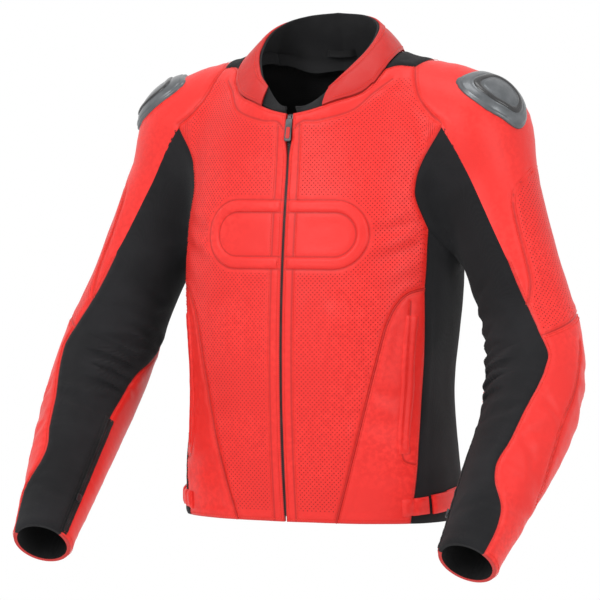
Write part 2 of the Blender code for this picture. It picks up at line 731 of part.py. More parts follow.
def chest_path():
    """Half of a long rounded frame across the chest."""
    centre_z, half_height, reach = -0.228, 0.036, 0.104
    turn = np.radians(np.linspace(90, -90, 9))
    bend_x = reach - half_height
    arc = np.stack([bend_x + half_height * np.cos(turn), centre_z + half_height * np.sin(turn)], -1)
    top = [(0.013, centre_z + half_height), (0.040, centre_z + half_height)]
    low = [(0.040, centre_z - half_height), (0.013, centre_z - half_height)]
    return np.vstack([top, arc, low])


def lay_strip(name, path, width, low, high, mat, parent, flip):
    band = strip(path, width)
    grid = seen(band.reshape(-1, 2), "front").reshape(band.shape[0], 2, 3)
    grid_sheet(name, flip(grid), high, low, mat, parent)


def make_trim(mats, parent, label, flip):
    lay_strip("chest_band_" + label, chest_path(), 0.016, LAY_ON, 0.0018, mats["red"], parent, flip)
    welt = [(0.158, -0.330), (0.153, -0.380), (0.151, -0.430), (0.149, -0.480), (0.150, -0.505)]
    lay_strip("pocket_welt_" + label, welt, 0.010, LAY_ON, 0.0030, mats["red"], parent, flip)


STRAP_Z = (-0.556, -0.574)
STRAP_WIDTH = 0.026
TAB_FOLD = 73.0  # angle round the torso where the strap's end folds back


def strap_grid(start, end, count, width=STRAP_WIDTH):
    """A band round the torso between two angles, falling a little towards the front."""
    degrees = np.linspace(start, end, count)
    z = np.interp(degrees, (60, 130), (STRAP_Z[1], STRAP_Z[0]))
    return np.stack([around(degrees, z - width / 2), around(degrees, z + width / 2)], 1)


def make_strap(mats, root, tab_parent, label, flip):
    base = flip(strap_grid(84, 132, 9))
    grid_sheet("waist_strap_" + label, base, 0.0030, 0.0010, mats["red"], root, form=torso_form)
    anchor = flip(strap_grid(60, 72, 3, 0.022))
    grid_sheet("strap_anchor_" + label, anchor, 0.0028, 0.0010, mats["red"], root, form=torso_form)
    tab = flip(strap_grid(TAB_FOLD + 0.5, 96, 6, 0.024))
    grid_sheet("strap_tab_" + label, tab, 0.0056, 0.0036, mats["red"], tab_parent, form=torso_form)


# ---------------------------------------------------------------- zips
def zip_section(side):
    """Tape under the panel's edge with its row of teeth at the centre, seen from above."""
    inner = 0.00015
    teeth = 0.0032
    tape = 0.0145
    step = -LEATHER - 0.0012
    back = step - 0.0009
    return [
        (side * inner, back), (side * tape, back), (side * tape, step),
        (side * teeth, step), (side * teeth, 0.0), (side * inner, 0.0),
    ]


def sweep_zip(name, side, mat, parent):
    """The section carried along the front's arc, closed at both ends."""
    bm = bmesh.new()
    rings = []
    outline = zip_section(side)
    for z in np.linspace(HEM_Z + 0.006, ZIP_TOP_Z - 0.002, 14):
        at = np.array([0.0, front_y(z), z])
        centre = np.array([0.0, FRONT_ARC_Y + FRONT_ARC_R, FRONT_ARC_Z])
        out = (at - centre) / np.linalg.norm(at - centre)
        rings.append([bm.verts.new(Vector(at + out * h + np.array([x, 0, 0]))) for x, h in outline])
    for low, high in zip(rings, rings[1:]):
        for i in range(len(outline)):
            k = (i + 1) % len(outline)
            bm.faces.new([low[i], low[k], high[k], high[i]])
    bm.faces.new(rings[0])
    bm.faces.new(rings[-1])
    bmesh.ops.recalc_face_normals(bm, faces=bm.faces[:])
    bmesh.ops.triangulate(bm, faces=bm.faces[:])
    mesh = bpy.data.meshes.new(name)
    bm.to_mesh(mesh)
    bm.free()
    return add_object(name, mesh, mat, parent)


def rounded_plate(name, length, width, thick, corner, mat, parent):
    """A plate with rounded corners, lying in X and Z, its back on y = 0 and its face towards -Y."""
    bm = bmesh.new()
    ring = []
    for quarter, (sx, sz) in enumerate(((1, 1), (-1, 1), (-1, -1), (1, -1))):
        for step in range(4):
            a = math.radians(quarter * 90 + step * 30)
            x = sx * (width / 2 - corner) + corner * math.cos(a)
            z = sz * (length / 2 - corner) + corner * math.sin(a)
            ring.append(bm.verts.new((x, 0, z)))
    face = bm.faces.new(ring)
    moved = bmesh.ops.extrude_face_region(bm, geom=[face])["geom"]
    for v in moved:
        if isinstance(v, bmesh.types.BMVert):
            v.co.y -= thick
    bmesh.ops.recalc_face_normals(bm, faces=bm.faces[:])
    mesh = bpy.data.meshes.new(name)
    bm.to_mesh(mesh)
    bm.free()
    return add_object(name, mesh, mat, parent)


SLIDER_Z = ZIP_TOP_Z - 0.008


def frame_at(name, location, facing, down, parent):
    """An empty on a surface: its -Y faces out and its -Z runs as near to down as that allows."""
    y_axis = -Vector(facing).normalized()
    x_axis = y_axis.cross(-Vector(down)).normalized()
    z_axis = x_axis.cross(y_axis)
    empty = bpy.data.objects.new(name, None)
    bpy.context.scene.collection.objects.link(empty)
    empty.parent = parent
    turned = Matrix((x_axis, y_axis, z_axis)).transposed().to_4x4()
    base = parent.location if parent.parent else Vector()
    empty.matrix_local = Matrix.Translation(Vector(location) - base) @ turned
    return empty


def make_front_zip(mats, root):
    sweep_zip("front_zip_left", 1, mats["tape"], root)
    sweep_zip("front_zip_right", -1, mats["tape"], root)
    at = np.array([0.0, front_y(SLIDER_Z), SLIDER_Z])
    centre = np.array([0.0, FRONT_ARC_Y + FRONT_ARC_R, FRONT_ARC_Z])
    out = (at - centre) / np.linalg.norm(at - centre)
    down = np.array([0.0, -out[2], out[1]])
    at = at + out * 0.0006
    travel = new_empty("front_zip_travel", centre, root)
    carrier = frame_at("front_slider_frame", at, out, down, travel)
    body = rounded_plate("front_zip_slider", 0.0130, 0.0095, 0.0032, 0.0028, mats["metal"], carrier)
    body.location = (0, 0, 0)
    pull = rounded_plate("front_zip_pull", 0.0300, 0.0085, 0.0026, 0.0026, mats["metal"], carrier)
    pull.location = (0, -0.0038, -0.0146)


def make_cuff_zip(mats, forearm, label, flip):
    """A short zip in the under seam of the forearm, its slider near the cuff."""
    s = np.linspace(FOREARM_START + 0.045, ARM_LENGTH - 0.004, 8)
    angles = np.full(8, FOREARM_STRETCH[1] + 8.0)
    middle = on_sleeve(s, angles)
    low = on_sleeve(s, angles - 3.2)
    high = on_sleeve(s, angles + 3.2)
    grid = flip(np.stack([low, middle, high], 1))
    grid_sheet("cuff_zip_" + label, grid, 0.0018, LAY_ON, mats["tape"], forearm)
    seat = flip(middle[5][None])[0]
    up = normals(seat[None])[0]
    run = flip((middle[6] - middle[5])[None])[0]
    carrier = frame_at("cuff_slider_frame_" + label, seat + up * 0.0026, up, run, forearm)
    body = rounded_plate("cuff_zip_slider_" + label, 0.0110, 0.0080, 0.0026, 0.0024, mats["metal"], carrier)
    body.location = (0, 0, 0)


# ---------------------------------------------------------------- inside
def make_inside(mats, parent):
    degrees = np.linspace(5, 355, 27)
    z = np.linspace(HEM_Z + 0.010, -0.310, 7)
    grid = around(degrees[None, :], z[:, None])
    grid_sheet(
        "body_lining", grid, -LINING_DEPTH, -LINING_DEPTH - LINING, mats["lining"], parent, form=torso_form
    )
    x = np.linspace(-0.085, 0.085, 6)
    heights = np.linspace(-0.430, -0.130, 9)
    flat_grid = np.array([[(u * (1 - 0.25 * abs(k - 4) / 4), v) for u in x] for k, v in enumerate(heights)])
    pad = seen(flat_grid.reshape(-1, 2), "back").reshape(9, 6, 3)
    grid_sheet("back_protector", pad, -0.0046, -0.0125, mats["foam"], parent)
    make_connection_zip(mats, parent)
    make_hanger(mats, parent)


ZIP_STRIP = (0.160, 0.0030, 0.016)  # the trouser connection strip: length, thickness, height
ZIP_STRIP_Y = 0.0927
ZIP_STRIP_Z = -0.560


def box(name, size, location, mat, parent):
    bm = bmesh.new()
    bmesh.ops.create_cube(bm, size=1.0)
    bmesh.ops.scale(bm, vec=size, verts=bm.verts)
    mesh = bpy.data.meshes.new(name)
    bm.to_mesh(mesh)
    bm.free()
    obj = add_object(name, mesh, mat, parent)
    obj.location = location
    return obj


def make_connection_zip(mats, parent):
    box("connection_zip", ZIP_STRIP, (0.0, ZIP_STRIP_Y, ZIP_STRIP_Z), mats["tape"], parent)


def make_hanger(mats, parent):
    """A flat loop of tape inside the back of the neck: its slot takes the hook."""
    bm = bmesh.new()
    width, height, slot_width, slot_height, thick = 0.060, 0.012, 0.046, 0.005, 0.0016
    outer = [(-width / 2, 0), (width / 2, 0), (width / 2, height), (-width / 2, height)]
    low = (height - slot_height) / 2
    inner = [
        (-slot_width / 2, low), (slot_width / 2, low),
        (slot_width / 2, low + slot_height), (-slot_width / 2, low + slot_height),
    ]
    front_outer = [bm.verts.new((x, 0, z)) for x, z in outer]
    front_inner = [bm.verts.new((x, 0, z)) for x, z in inner]
    faces = []
    for i in range(4):
        k = (i + 1) % 4
        faces.append(bm.faces.new([front_outer[i], front_outer[k], front_inner[k], front_inner[i]]))
    moved = bmesh.ops.extrude_face_region(bm, geom=faces)["geom"]
    for v in moved:
        if isinstance(v, bmesh.types.BMVert):
            v.co.y -= thick
    bmesh.ops.recalc_face_normals(bm, faces=bm.faces[:])
    mesh = bpy.data.meshes.new("hanger_loop")
    bm.to_mesh(mesh)
    bm.free()
    loop = add_object("hanger_loop", mesh, mats["tape"], parent)
    loop.location = (HANG_POINT[0], HANG_POINT[1] - 0.001, HANG_POINT[2] - 0.0085)


# ---------------------------------------------------------------- the whole jacket
def new_empty(name, location, parent=None):
    empty = bpy.data.objects.new(name, None)
    bpy.context.scene.collection.objects.link(empty)
    empty.location = location
    empty.parent = parent
    return empty


def main():
    for obj in list(bpy.data.objects):
        bpy.data.objects.remove(obj, do_unlink=True)
    mats = make_materials()
    root = new_empty("jacket", -Vector(HANG_POINT))
    seams = make_seams()
    make_torso(seams, mats, root)
    make_collar(seams, mats, root)
    make_front_zip(mats, root)
    make_inside(mats, root)
    for label, flip in (("left", lambda p: p), ("right", mirrored)):
        upper = new_empty("upper_arm_" + label, flip(SHOULDER), root)
        forearm = new_empty("forearm_" + label, flip(arm_frame(ELBOW_AT)[0]), root)
        tab = new_empty("tab_fold_" + label, flip(around(TAB_FOLD, STRAP_Z[1])), root)
        make_sleeve(seams, mats, (root, upper, forearm), label, flip)
        make_cup(mats, root, label, flip)
        make_trim(mats, root, label, flip)
        make_strap(mats, root, tab, label, flip)
        make_cuff_zip(mats, forearm, label, flip)


main()
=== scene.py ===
"""Looks of the leather riding jacket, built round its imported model.

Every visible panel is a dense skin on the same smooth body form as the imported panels, with rolled seams,
puckers, stitches and soft folds. Points are worked out in the form's own axes, and a mesh is moved to the
row frame, whose origin is the hang point, when it is made.
"""

import math

import bpy
import numpy as np
from mathutils import Matrix, Vector, kdtree, noise
from mathutils.geometry import delaunay_2d_cdt


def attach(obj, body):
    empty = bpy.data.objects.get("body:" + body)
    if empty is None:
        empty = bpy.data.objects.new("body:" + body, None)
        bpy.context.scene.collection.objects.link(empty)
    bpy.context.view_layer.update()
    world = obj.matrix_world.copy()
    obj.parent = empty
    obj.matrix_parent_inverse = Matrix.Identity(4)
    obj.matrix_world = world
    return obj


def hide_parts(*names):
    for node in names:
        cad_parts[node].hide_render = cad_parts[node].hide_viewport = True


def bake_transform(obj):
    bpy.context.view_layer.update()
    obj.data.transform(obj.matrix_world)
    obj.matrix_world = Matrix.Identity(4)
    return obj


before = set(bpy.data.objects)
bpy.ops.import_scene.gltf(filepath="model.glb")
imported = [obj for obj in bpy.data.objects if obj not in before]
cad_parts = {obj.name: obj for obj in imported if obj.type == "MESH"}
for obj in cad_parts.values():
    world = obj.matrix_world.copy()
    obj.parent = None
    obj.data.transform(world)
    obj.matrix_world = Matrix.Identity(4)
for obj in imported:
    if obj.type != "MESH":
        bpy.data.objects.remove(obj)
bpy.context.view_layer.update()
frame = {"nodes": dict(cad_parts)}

# ---------------------------------------------------------------- sizes, in metres
HANG_POINT = np.array([0.0, 0.047, 0.010])  # the row frame's origin, in the form's axes
HEM_Z = -0.594
ZIP_TOP_Z = -0.074
ZIP_EDGE_TOP = 0.0050  # from the centre line to a front edge, at the neck and lower down
ZIP_EDGE_LOW = 0.0016
FRONT_ARC_R = 1.40
FRONT_ARC_Y = -0.136
FRONT_ARC_Z = -0.385
TORSO = np.array(
    [
        (-0.660, 0.186, 0.118), (-0.580, 0.183, 0.118), (-0.530, 0.180, 0.117), (-0.490, 0.175, 0.120),
        (-0.425, 0.170, 0.122), (-0.373, 0.174, 0.126), (-0.334, 0.178, 0.129), (-0.290, 0.181, 0.132),
        (-0.240, 0.180, 0.134), (-0.180, 0.174, 0.130), (-0.120, 0.152, 0.112), (-0.080, 0.118, 0.085),
        (-0.045, 0.085, 0.055),
    ]
)
TORSO_SQUARENESS = 2.5
TORSO_TOP_Z = -0.040
ARMPIT_BLEND = 0.030
SHOULDER = np.array([0.196, 0.026, -0.098])
ELBOW = np.array([0.319, -0.021, -0.412])
WRIST = np.array([0.2945, -0.228, -0.6236])
NECK = np.array([0.0, 0.018, -0.070])
RIDGE = 0.0195  # how far the shoulder's top stands up between the neck and the sleeve
SLEEVE_RADII = ((0, 0.070), (0.16, 0.063), (0.36, 0.0590), (0.54, 0.0625), (0.70, 0.056))
CUFF_RADII = ((0.85, 0.047), (1.0, 0.0380), (1.1, 0.0375))
ARM_TOP = 0.190
SHOULDER_TURN = (0.150, 0.226)  # two stations near the shoulder, at which hang_upper works out points on the sleeve's bone
ELBOW_TURN = (0.316, 0.392)
ELBOW_TEAR = 0.282  # mean station of the elbow's cross seam, and how far it swings
ELBOW_SWING = 0.0324
ELBOW_SEAM_PEAK = 110.0

STEP = 0.0042  # spacing of points along seams
FILL = 0.0060  # spacing of points inside a panel, before each is halved
SEAM_DEPTH = 0.0013
SEAM_WIDTH = 0.0022
SKIRT = 0.0045
LINING_FILL = 0.014  # spacing of points inside a panel of the lining
BATCH = 1500  # points measured against an outline at a time
SEAM_ROW = 0.0026  # from a seam or a mark to the first points beside it
SEAM_CLEAR = 0.0021  # nearest that a point inside a panel may be to a seam


# ---------------------------------------------------------------- the body form
def table(x, xs, ys):
    slopes = np.gradient(ys, xs)
    x = np.clip(x, xs[0], xs[-1])
    i = np.clip(np.searchsorted(xs, x) - 1, 0, len(xs) - 2)
    h = xs[i + 1] - xs[i]
    t = (x - xs[i]) / h
    a = (2 * t**3 - 3 * t**2 + 1) * ys[i] + (t**3 - 2 * t**2 + t) * h * slopes[i]
    return a + (3 * t**2 - 2 * t**3) * ys[i + 1] + (t**3 - t**2) * h * slopes[i + 1]


def smooth_min(a, b, k):
    h = np.maximum(k - np.abs(a - b), 0) / k
    return np.minimum(a, b) - h * h * k * 0.25


def smooth_step(x, low, high):
    t = np.clip((x - low) / (high - low), 0, 1)
    return t * t * (3 - 2 * t)


def front_y(z):
    drop = np.sqrt(np.maximum(FRONT_ARC_R**2 - (z - FRONT_ARC_Z) ** 2, 0))
    return FRONT_ARC_Y + FRONT_ARC_R - drop


def torso_middle(z):
    front = front_y(np.clip(z, -0.66, -0.04))
    back = table(z, TORSO[:, 0], TORSO[:, 2])
    return 0.5 * (front + back), 0.5 * (back - front)


def torso_column(p):
    x, y, z = p[..., 0], p[..., 1], p[..., 2]
    half_width = table(z, TORSO[:, 0], TORSO[:, 1])
    middle, half_depth = torso_middle(z)
    n = TORSO_SQUARENESS
    rho = (np.abs(x / half_width) ** n + np.abs((y - middle) / half_depth) ** n) ** (1 / n)
    reach = np.hypot(x, y - middle)
    side = reach * (1 - 1 / np.maximum(rho, 1e-6))
    side = np.where(rho < 1e-3, -np.minimum(half_width, half_depth), side)
    return -smooth_min(-side, -(z - TORSO_TOP_Z), 0.04)


def shoulder_bar(p):
    x = np.abs(p[..., 0])
    t = np.clip(x / 0.20, 0, 1)
    cy = NECK[1] + (SHOULDER[1] - NECK[1]) * t
    cz = NECK[2] + (SHOULDER[2] - NECK[2]) * t - 0.004
    ry = 0.092 - 0.022 * t
    ridge = RIDGE * smooth_step(x, 0.035, 0.090) * smooth_step(x, 0.235, 0.170)
    cz = cz + 0.55 * ridge
    rz = 0.080 - 0.014 * t + 0.45 * ridge
    beyond = np.maximum(x - 0.20, 0) / 0.066
    rho = np.sqrt(((p[..., 1] - cy) / ry) ** 2 + ((p[..., 2] - cz) / rz) ** 2 + beyond**2)
    return (rho - 1) * np.minimum(ry, rz)


def arm_line():
    a = ELBOW + (SHOULDER - ELBOW) * 0.30
    b = ELBOW + (WRIST - ELBOW) * 0.36
    points = [SHOULDER + (a - SHOULDER) * i / 6 for i in range(6)]
    for i in range(9):
        t = i / 8
        points.append((1 - t) ** 2 * a + 2 * (1 - t) * t * ELBOW + t * t * b)
    points += [b + (WRIST - b) * i / 6 for i in range(1, 7)]
    points.append(WRIST + (WRIST - b) / np.linalg.norm(WRIST - b) * 0.03)
    return np.array(points)


ARM = arm_line()
ARM_STEPS = np.linalg.norm(np.diff(ARM, axis=0), axis=1)
ARM_AT = np.concatenate([[0], np.cumsum(ARM_STEPS)])
ARM_LENGTH = ARM_AT[-1] - 0.03
RADII = np.array(SLEEVE_RADII + CUFF_RADII)


def sleeve_radius(s):
    return table(s, RADII[:, 0] * ARM_LENGTH, RADII[:, 1])


def sleeves(p):
    q = p.copy()
    q[..., 0] = np.abs(q[..., 0])
    best = np.full(q.shape[:-1], 1e9)
    for a, b, start, length in zip(ARM[:-1], ARM[1:], ARM_AT[:-1], ARM_STEPS):
        d = b - a
        t = np.clip(((q - a) @ d) / (d @ d), 0, 1)
        away = np.linalg.norm(q - (a + t[..., None] * d), axis=-1)
        best = np.minimum(best, away - sleeve_radius(start + t * length))
    return best


def torso_form(p):
    return smooth_min(torso_column(p), shoulder_bar(p), 0.07)


def body_form(p):
    return smooth_min(torso_form(p), sleeves(p), ARMPIT_BLEND)


def gradient(p, form=body_form):
    out = np.empty_like(p)
    for axis in range(3):
        d = np.zeros(3)
        d[axis] = 1e-4
        out[..., axis] = (form(p + d) - form(p - d)) / 2e-4
    return out


def unit(vectors):
    return vectors / np.linalg.norm(vectors, axis=-1, keepdims=True)


def normals(p, form=body_form):
    g = gradient(p, form)
    return g / np.maximum(np.linalg.norm(g, axis=-1, keepdims=True), 1e-9)


def settle(p, form=body_form, rounds=6):
    p = np.array(p, float)
    for _ in range(rounds):
        g = gradient(p, form)
        p = p - (form(p) / np.maximum((g * g).sum(-1), 1e-6))[..., None] * g
    return p


def march(origins, directions, inside=False, form=body_form):
    sign = -1.0 if inside else 1.0
    t = np.zeros(origins.shape[:-1])
    for _ in range(110):
        value = form(origins + directions * t[..., None])
        t = t + np.clip(sign * value * 0.75, -0.02, 0.03)
    return origins + directions * t[..., None]


def rays(uv, view):
    uv = np.atleast_2d(np.array(uv, float))
    start = np.zeros((len(uv), 3))
    if view in ("front", "back"):
        start[:, 0], start[:, 2] = uv[:, 0], uv[:, 1]
        start[:, 1] = -0.4 if view == "front" else 0.4
        direction = (0, 1 if view == "front" else -1, 0)
    elif view == "side":
        start[:, 1], start[:, 2] = uv[:, 0], uv[:, 1]
        start[:, 0] = 0.45
        direction = (-1, 0, 0)
    else:
        start[:, 0], start[:, 1] = uv[:, 0], uv[:, 1]
        start[:, 2] = 0.3
        direction = (0, 0, -1)
    return start, np.tile(np.array(direction, float), (len(uv), 1))


def flat(points, view):
    columns = {"front": (0, 2), "back": (0, 2), "side": (1, 2), "top": (0, 1)}[view]
    return points[:, columns]


def seen(uv, view, form=body_form):
    return march(*rays(uv, view), form=form)


def around(degrees, z, form=torso_form):
    degrees, z = np.broadcast_arrays(np.array(degrees, float), np.array(z, float))
    a = np.radians(degrees)
    middle, _ = torso_middle(z)
    start = np.stack([np.zeros_like(z), middle, z], -1)
    out = np.stack([np.sin(a), -np.cos(a), np.zeros_like(a)], -1)
    return march(start, out, inside=True, form=form)


def arm_frame(s):
    s = np.array(s, float)
    centre = np.stack([np.interp(s, ARM_AT, ARM[:, k]) for k in range(3)], -1)
    ahead = np.stack([np.interp(s + 0.02, ARM_AT, ARM[:, k]) for k in range(3)], -1)
    behind = np.stack([np.interp(s - 0.02, ARM_AT, ARM[:, k]) for k in range(3)], -1)
    along = ahead - behind
    along = unit(along)
    outward = np.array([1.0, 0, 0]) - along[..., :1] * along
    outward = unit(outward)
    return centre, outward, np.cross(along, outward)


def on_sleeve(s, degrees):
    s, degrees = np.broadcast_arrays(np.array(s, float), np.array(degrees, float))
    centre, outward, forward = arm_frame(s)
    a = np.radians(degrees)[..., None]
    return march(centre, np.cos(a) * outward + np.sin(a) * forward, inside=True)


BONE_AT = np.linspace(0, ARM_LENGTH, 330)
BONE, BONE_OUT, BONE_FORWARD = arm_frame(BONE_AT)


def sleeve_place(points):
    """Station and angle, from -180 to 180, of points near the left sleeve."""
    station = np.empty(len(points))
    angle = np.empty(len(points))
    for low in range(0, len(points), 4000):
        part = points[low : low + 4000]
        gap = part[:, None, :] - BONE[None]
        nearest = (gap**2).sum(-1).argmin(1)
        reach = gap[np.arange(len(part)), nearest]
        station[low : low + 4000] = BONE_AT[nearest]
        along = (reach * BONE_FORWARD[nearest]).sum(-1)
        across = (reach * BONE_OUT[nearest]).sum(-1)
        angle[low : low + 4000] = np.degrees(np.arctan2(along, across))
    return station, angle


# ---------------------------------------------------------------- seams
def spline(points, step):
    p = np.array(points, float)
    if len(p) > 2:
        padded = np.vstack([2 * p[0] - p[1], p, 2 * p[-1] - p[-2]])
        fine = []
        for a, b, c, d in zip(padded, padded[1:], padded[2:], padded[3:]):
            for t in np.linspace(0, 1, 12, endpoint=False):
                line = (c - a) * t + (2 * a - 5 * b + 4 * c - d) * t**2
                fine.append(0.5 * (2 * b + line + (3 * b - a - 3 * c + d) * t**3))
        p = np.array(fine + [p[-1]])
    run = np.concatenate([[0], np.cumsum(np.linalg.norm(np.diff(p, axis=0), axis=1))])
    count = max(1, round(run[-1] / step))
    at = np.linspace(0, run[-1], count + 1)
    return np.stack([np.interp(at, run, p[:, k]) for k in range(p.shape[1])], -1)


def seam(*points, step=STEP):
    return settle(spline(points, step))


def chain(*curves):
    out = [curves[0]]
    out += [c[1:] for c in curves[1:]]
    return np.vstack(out)


def mirrored(points):
    return points * np.array([-1.0, 1.0, 1.0])


def same(points):
    return points


SIDES = (("left", same), ("right", mirrored))


def zip_edge(z):
    return ZIP_EDGE_LOW + (ZIP_EDGE_TOP - ZIP_EDGE_LOW) * smooth_step(z, -0.132, -0.100)


HEM_PRINCESS = (0.069, -0.117, HEM_Z)
HEM_SIDE = (0.156, -0.079, HEM_Z)
HEM_REAR = (0.140, 0.100, HEM_Z)
PRINCESS_TOP = (0.174, -0.067, -0.296)
ARMHOLE_FRONT = (0.176, -0.058, -0.221)
ARMPIT = (0.184, 0.015, -0.262)
ARMHOLE_REAR = (0.172, 0.090, -0.225)
APEX_FRONT = (0.189, -0.059, -0.087)
APEX_REAR = (0.186, 0.088, -0.092)
YOKE_FRONT = (0.131, -0.010, -0.026)
YOKE_REAR = (0.133, 0.048, -0.030)
NECK_FRONT = (0.097, -0.030, -0.030)
NECK_REAR = (0.090, 0.040, -0.008)
NECK_MIDDLE = (0.0, 0.069, 0.002)
WAIST_HIGH = (0.152, 0.095, -0.400)
WAIST_LOW = (0.150, 0.098, -0.490)


def make_seams():
    s = {}
    zip_z = np.linspace(HEM_Z, ZIP_TOP_Z, 121)
    s["zip"] = seen(np.stack([zip_edge(zip_z), zip_z], -1), "front")
    s["hem_front"] = seam(s["zip"][0], (0.035, -0.121, HEM_Z), HEM_PRINCESS)
    s["hem_lower"] = seam(HEM_PRINCESS, (0.123, -0.101, HEM_Z), HEM_SIDE)
    s["hem_side"] = seam(HEM_SIDE, (0.181, -0.020, HEM_Z), (0.175, 0.055, HEM_Z), HEM_REAR)
    s["hem_back"] = seam(HEM_REAR, (0.075, 0.116, HEM_Z), (0.0, 0.118, HEM_Z))
    s["princess"] = seam(
        HEM_PRINCESS, (0.093, -0.12, -0.511), (0.122, -0.111, -0.389),
        (0.137, -0.105, -0.335), (0.154, -0.091, -0.305), PRINCESS_TOP,
    )
    s["side_low"] = seam(HEM_SIDE, (0.163, -0.07, -0.504), (0.165, -0.058, -0.407), PRINCESS_TOP)
    s["side_high"] = seam(PRINCESS_TOP, (0.176, -0.063, -0.260), ARMHOLE_FRONT)
    s["armhole_front"] = seam(
        ARMHOLE_FRONT, (0.160, -0.068, -0.185), (0.160, -0.068, -0.160),
        (0.172, -0.065, -0.121), APEX_FRONT,
    )
    s["armpit_front"] = seam(ARMHOLE_FRONT, (0.183, -0.025, -0.247), ARMPIT)
    s["armpit_rear"] = seam(ARMPIT, (0.182, 0.055, -0.250), ARMHOLE_REAR)
    s["armhole_rear"] = seam(
        ARMHOLE_REAR, (0.158, 0.108, -0.188), (0.160, 0.106, -0.150), (0.172, 0.098, -0.12), APEX_REAR
    )
    s["raglan_front"] = seam(APEX_FRONT, (0.172, -0.057, -0.074), (0.152, -0.046, -0.052), YOKE_FRONT)
    s["raglan_rear"] = seam(APEX_REAR, (0.172, 0.078, -0.072), (0.152, 0.066, -0.049), YOKE_REAR)
    s["yoke_outer"] = seam(YOKE_FRONT, (0.138, 0.018, -0.022), YOKE_REAR)
    s["yoke_front"] = seam(YOKE_FRONT, (0.110, -0.018, -0.026), NECK_FRONT)
    s["yoke_rear"] = seam(YOKE_REAR, NECK_REAR)
    s["neck_front"] = seam(s["zip"][-1], (0.045, -0.083, -0.070), (0.080, -0.064, -0.056), NECK_FRONT)
    s["neck_side"] = seam(NECK_FRONT, (0.099, 0.0, -0.016), NECK_REAR)
    s["neck_back"] = seam(NECK_REAR, (0.055, 0.061, 0.0), NECK_MIDDLE)
    s["back_low"] = seam(HEM_REAR, WAIST_LOW)
    s["back_mid"] = seam(WAIST_LOW, WAIST_HIGH)
    s["back_high"] = seam(WAIST_HIGH, (0.165, 0.095, -0.310), (0.172, 0.093, -0.260), ARMHOLE_REAR)
    s["waist_low"] = seam(WAIST_LOW, (0.075, 0.114, -0.494), (0.0, 0.115, -0.496))
    s["waist_high"] = seam(WAIST_HIGH, (0.075, 0.112, -0.390), (0.0, 0.112, -0.384))
    return s


SEAMS = make_seams()

# boundaries on the sleeve: station against angle
FRONT_EDGE = np.array(
    [(0.190, 76.0), (0.246, 71.0), (0.304, 62.7), (0.332, 55.9), (0.353, 58.9), (0.418, 70.8),
     (0.472, 74.0), (0.514, 78.5), (0.533, 71.0), (0.563, 45.0), (0.579, 39.0), (0.640, 37.8)]
)
REAR_EDGE = np.array(
    [(0.190, 286.0), (0.220, 270.0), (0.252, 238.0), (0.290, 203.0), (0.335, 173.0), (0.400, 161.0),
     (0.470, 154.0), (0.640, 153.0)]
)
PATCH_EDGE = np.array([(0.076, 5.0), (0.099, 38.0), (0.112, 47.0), (0.135, 51.5), (0.181, 53.0),
                       (0.218, 55.5), (0.240, 62.0), (0.256, 69.5)])
PATCH_BACK = np.array([(0.076, 5.0), (0.070, -20.0), (0.074, -50.0), (0.090, -70.0)])
FOREARM_SEAM = np.array([(0.300, 4.0), (0.327, 9.4), (0.370, 14.5), (0.416, 18.0), (0.476, 2.0),
                         (0.520, -22.0)])


def edge_angle(edge, s):
    return table(s, edge[:, 0], edge[:, 1])


def cross_station(degrees):
    """Where the elbow's cross seam runs, round the sleeve."""
    return ELBOW_TEAR + ELBOW_SWING * np.cos(np.radians(degrees - ELBOW_SEAM_PEAK))


def sleeve_curve(knots, step=STEP):
    """A seam drawn on the sleeve by stations and angles."""
    path = spline(np.array(knots) * np.array([1.0, 0.001]), 0.001)
    points = on_sleeve(path[:, 0], path[:, 1] * 1000)
    return spline(points, step) if len(points) > 2 else points


# ---------------------------------------------------------------- surface relief
class SeamField:
    """Distance to the nearest seam, the distance along it, and how deep it is."""

    def __init__(self):
        self.points, self.run, self.depth, self.pucker = [], [], [], []
        self.tree = None

    def add(self, curve, depth=1.0, pucker=1.0):
        dense = spline(curve, 0.0008)
        run = np.arange(len(dense)) * 0.0008 + len(self.points) * 0.37
        for flip in (same, mirrored):
            self.points.append(flip(dense))
            self.run.append(run)
            self.depth.append(np.full(len(dense), depth))
            self.pucker.append(np.full(len(dense), pucker))

    def close(self):
        self.points = np.vstack(self.points)
        self.run = np.concatenate(self.run)
        self.depth = np.concatenate(self.depth)
        self.pucker = np.concatenate(self.pucker)
        self.tree = kdtree.KDTree(len(self.points))
        for i, p in enumerate(self.points):
            self.tree.insert(p, i)
        self.tree.balance()

    def find(self, points):
        found = [self.tree.find(p)[1:] for p in points]
        index = np.array([i for i, _ in found])
        return np.array([d for _, d in found]), index


# soft folds: two ends, width and depth, on the wearer's left and mirrored to the right
FOLDS = (
    ((0.168, -0.075, -0.212), (0.095, -0.118, -0.236), 0.010, 0.0024),
    ((0.172, -0.070, -0.236), (0.110, -0.118, -0.268), 0.012, 0.0026),
    ((0.165, -0.075, -0.166), (0.128, -0.098, -0.150), 0.009, 0.0016),
    ((0.150, -0.095, -0.470), (0.060, -0.130, -0.452), 0.014, 0.0016),
    ((0.158, -0.082, -0.445), (0.085, -0.125, -0.415), 0.012, 0.0016),
    ((0.155, -0.085, -0.535), (0.070, -0.125, -0.520), 0.015, 0.0015),
    ((0.045, -0.132, -0.300), (0.055, -0.133, -0.420), 0.014, 0.0012),
    ((0.110, -0.118, -0.330), (0.060, -0.132, -0.300), 0.012, 0.0014),
    ((0.150, 0.105, -0.300), (0.080, 0.125, -0.275), 0.014, 0.0026),
    ((0.150, 0.108, -0.255), (0.090, 0.130, -0.235), 0.012, 0.0024),
    ((0.020, 0.122, -0.360), (0.120, 0.112, -0.350), 0.012, 0.0018),
    ((0.030, 0.126, -0.330), (0.110, 0.120, -0.325), 0.012, 0.0014),
)
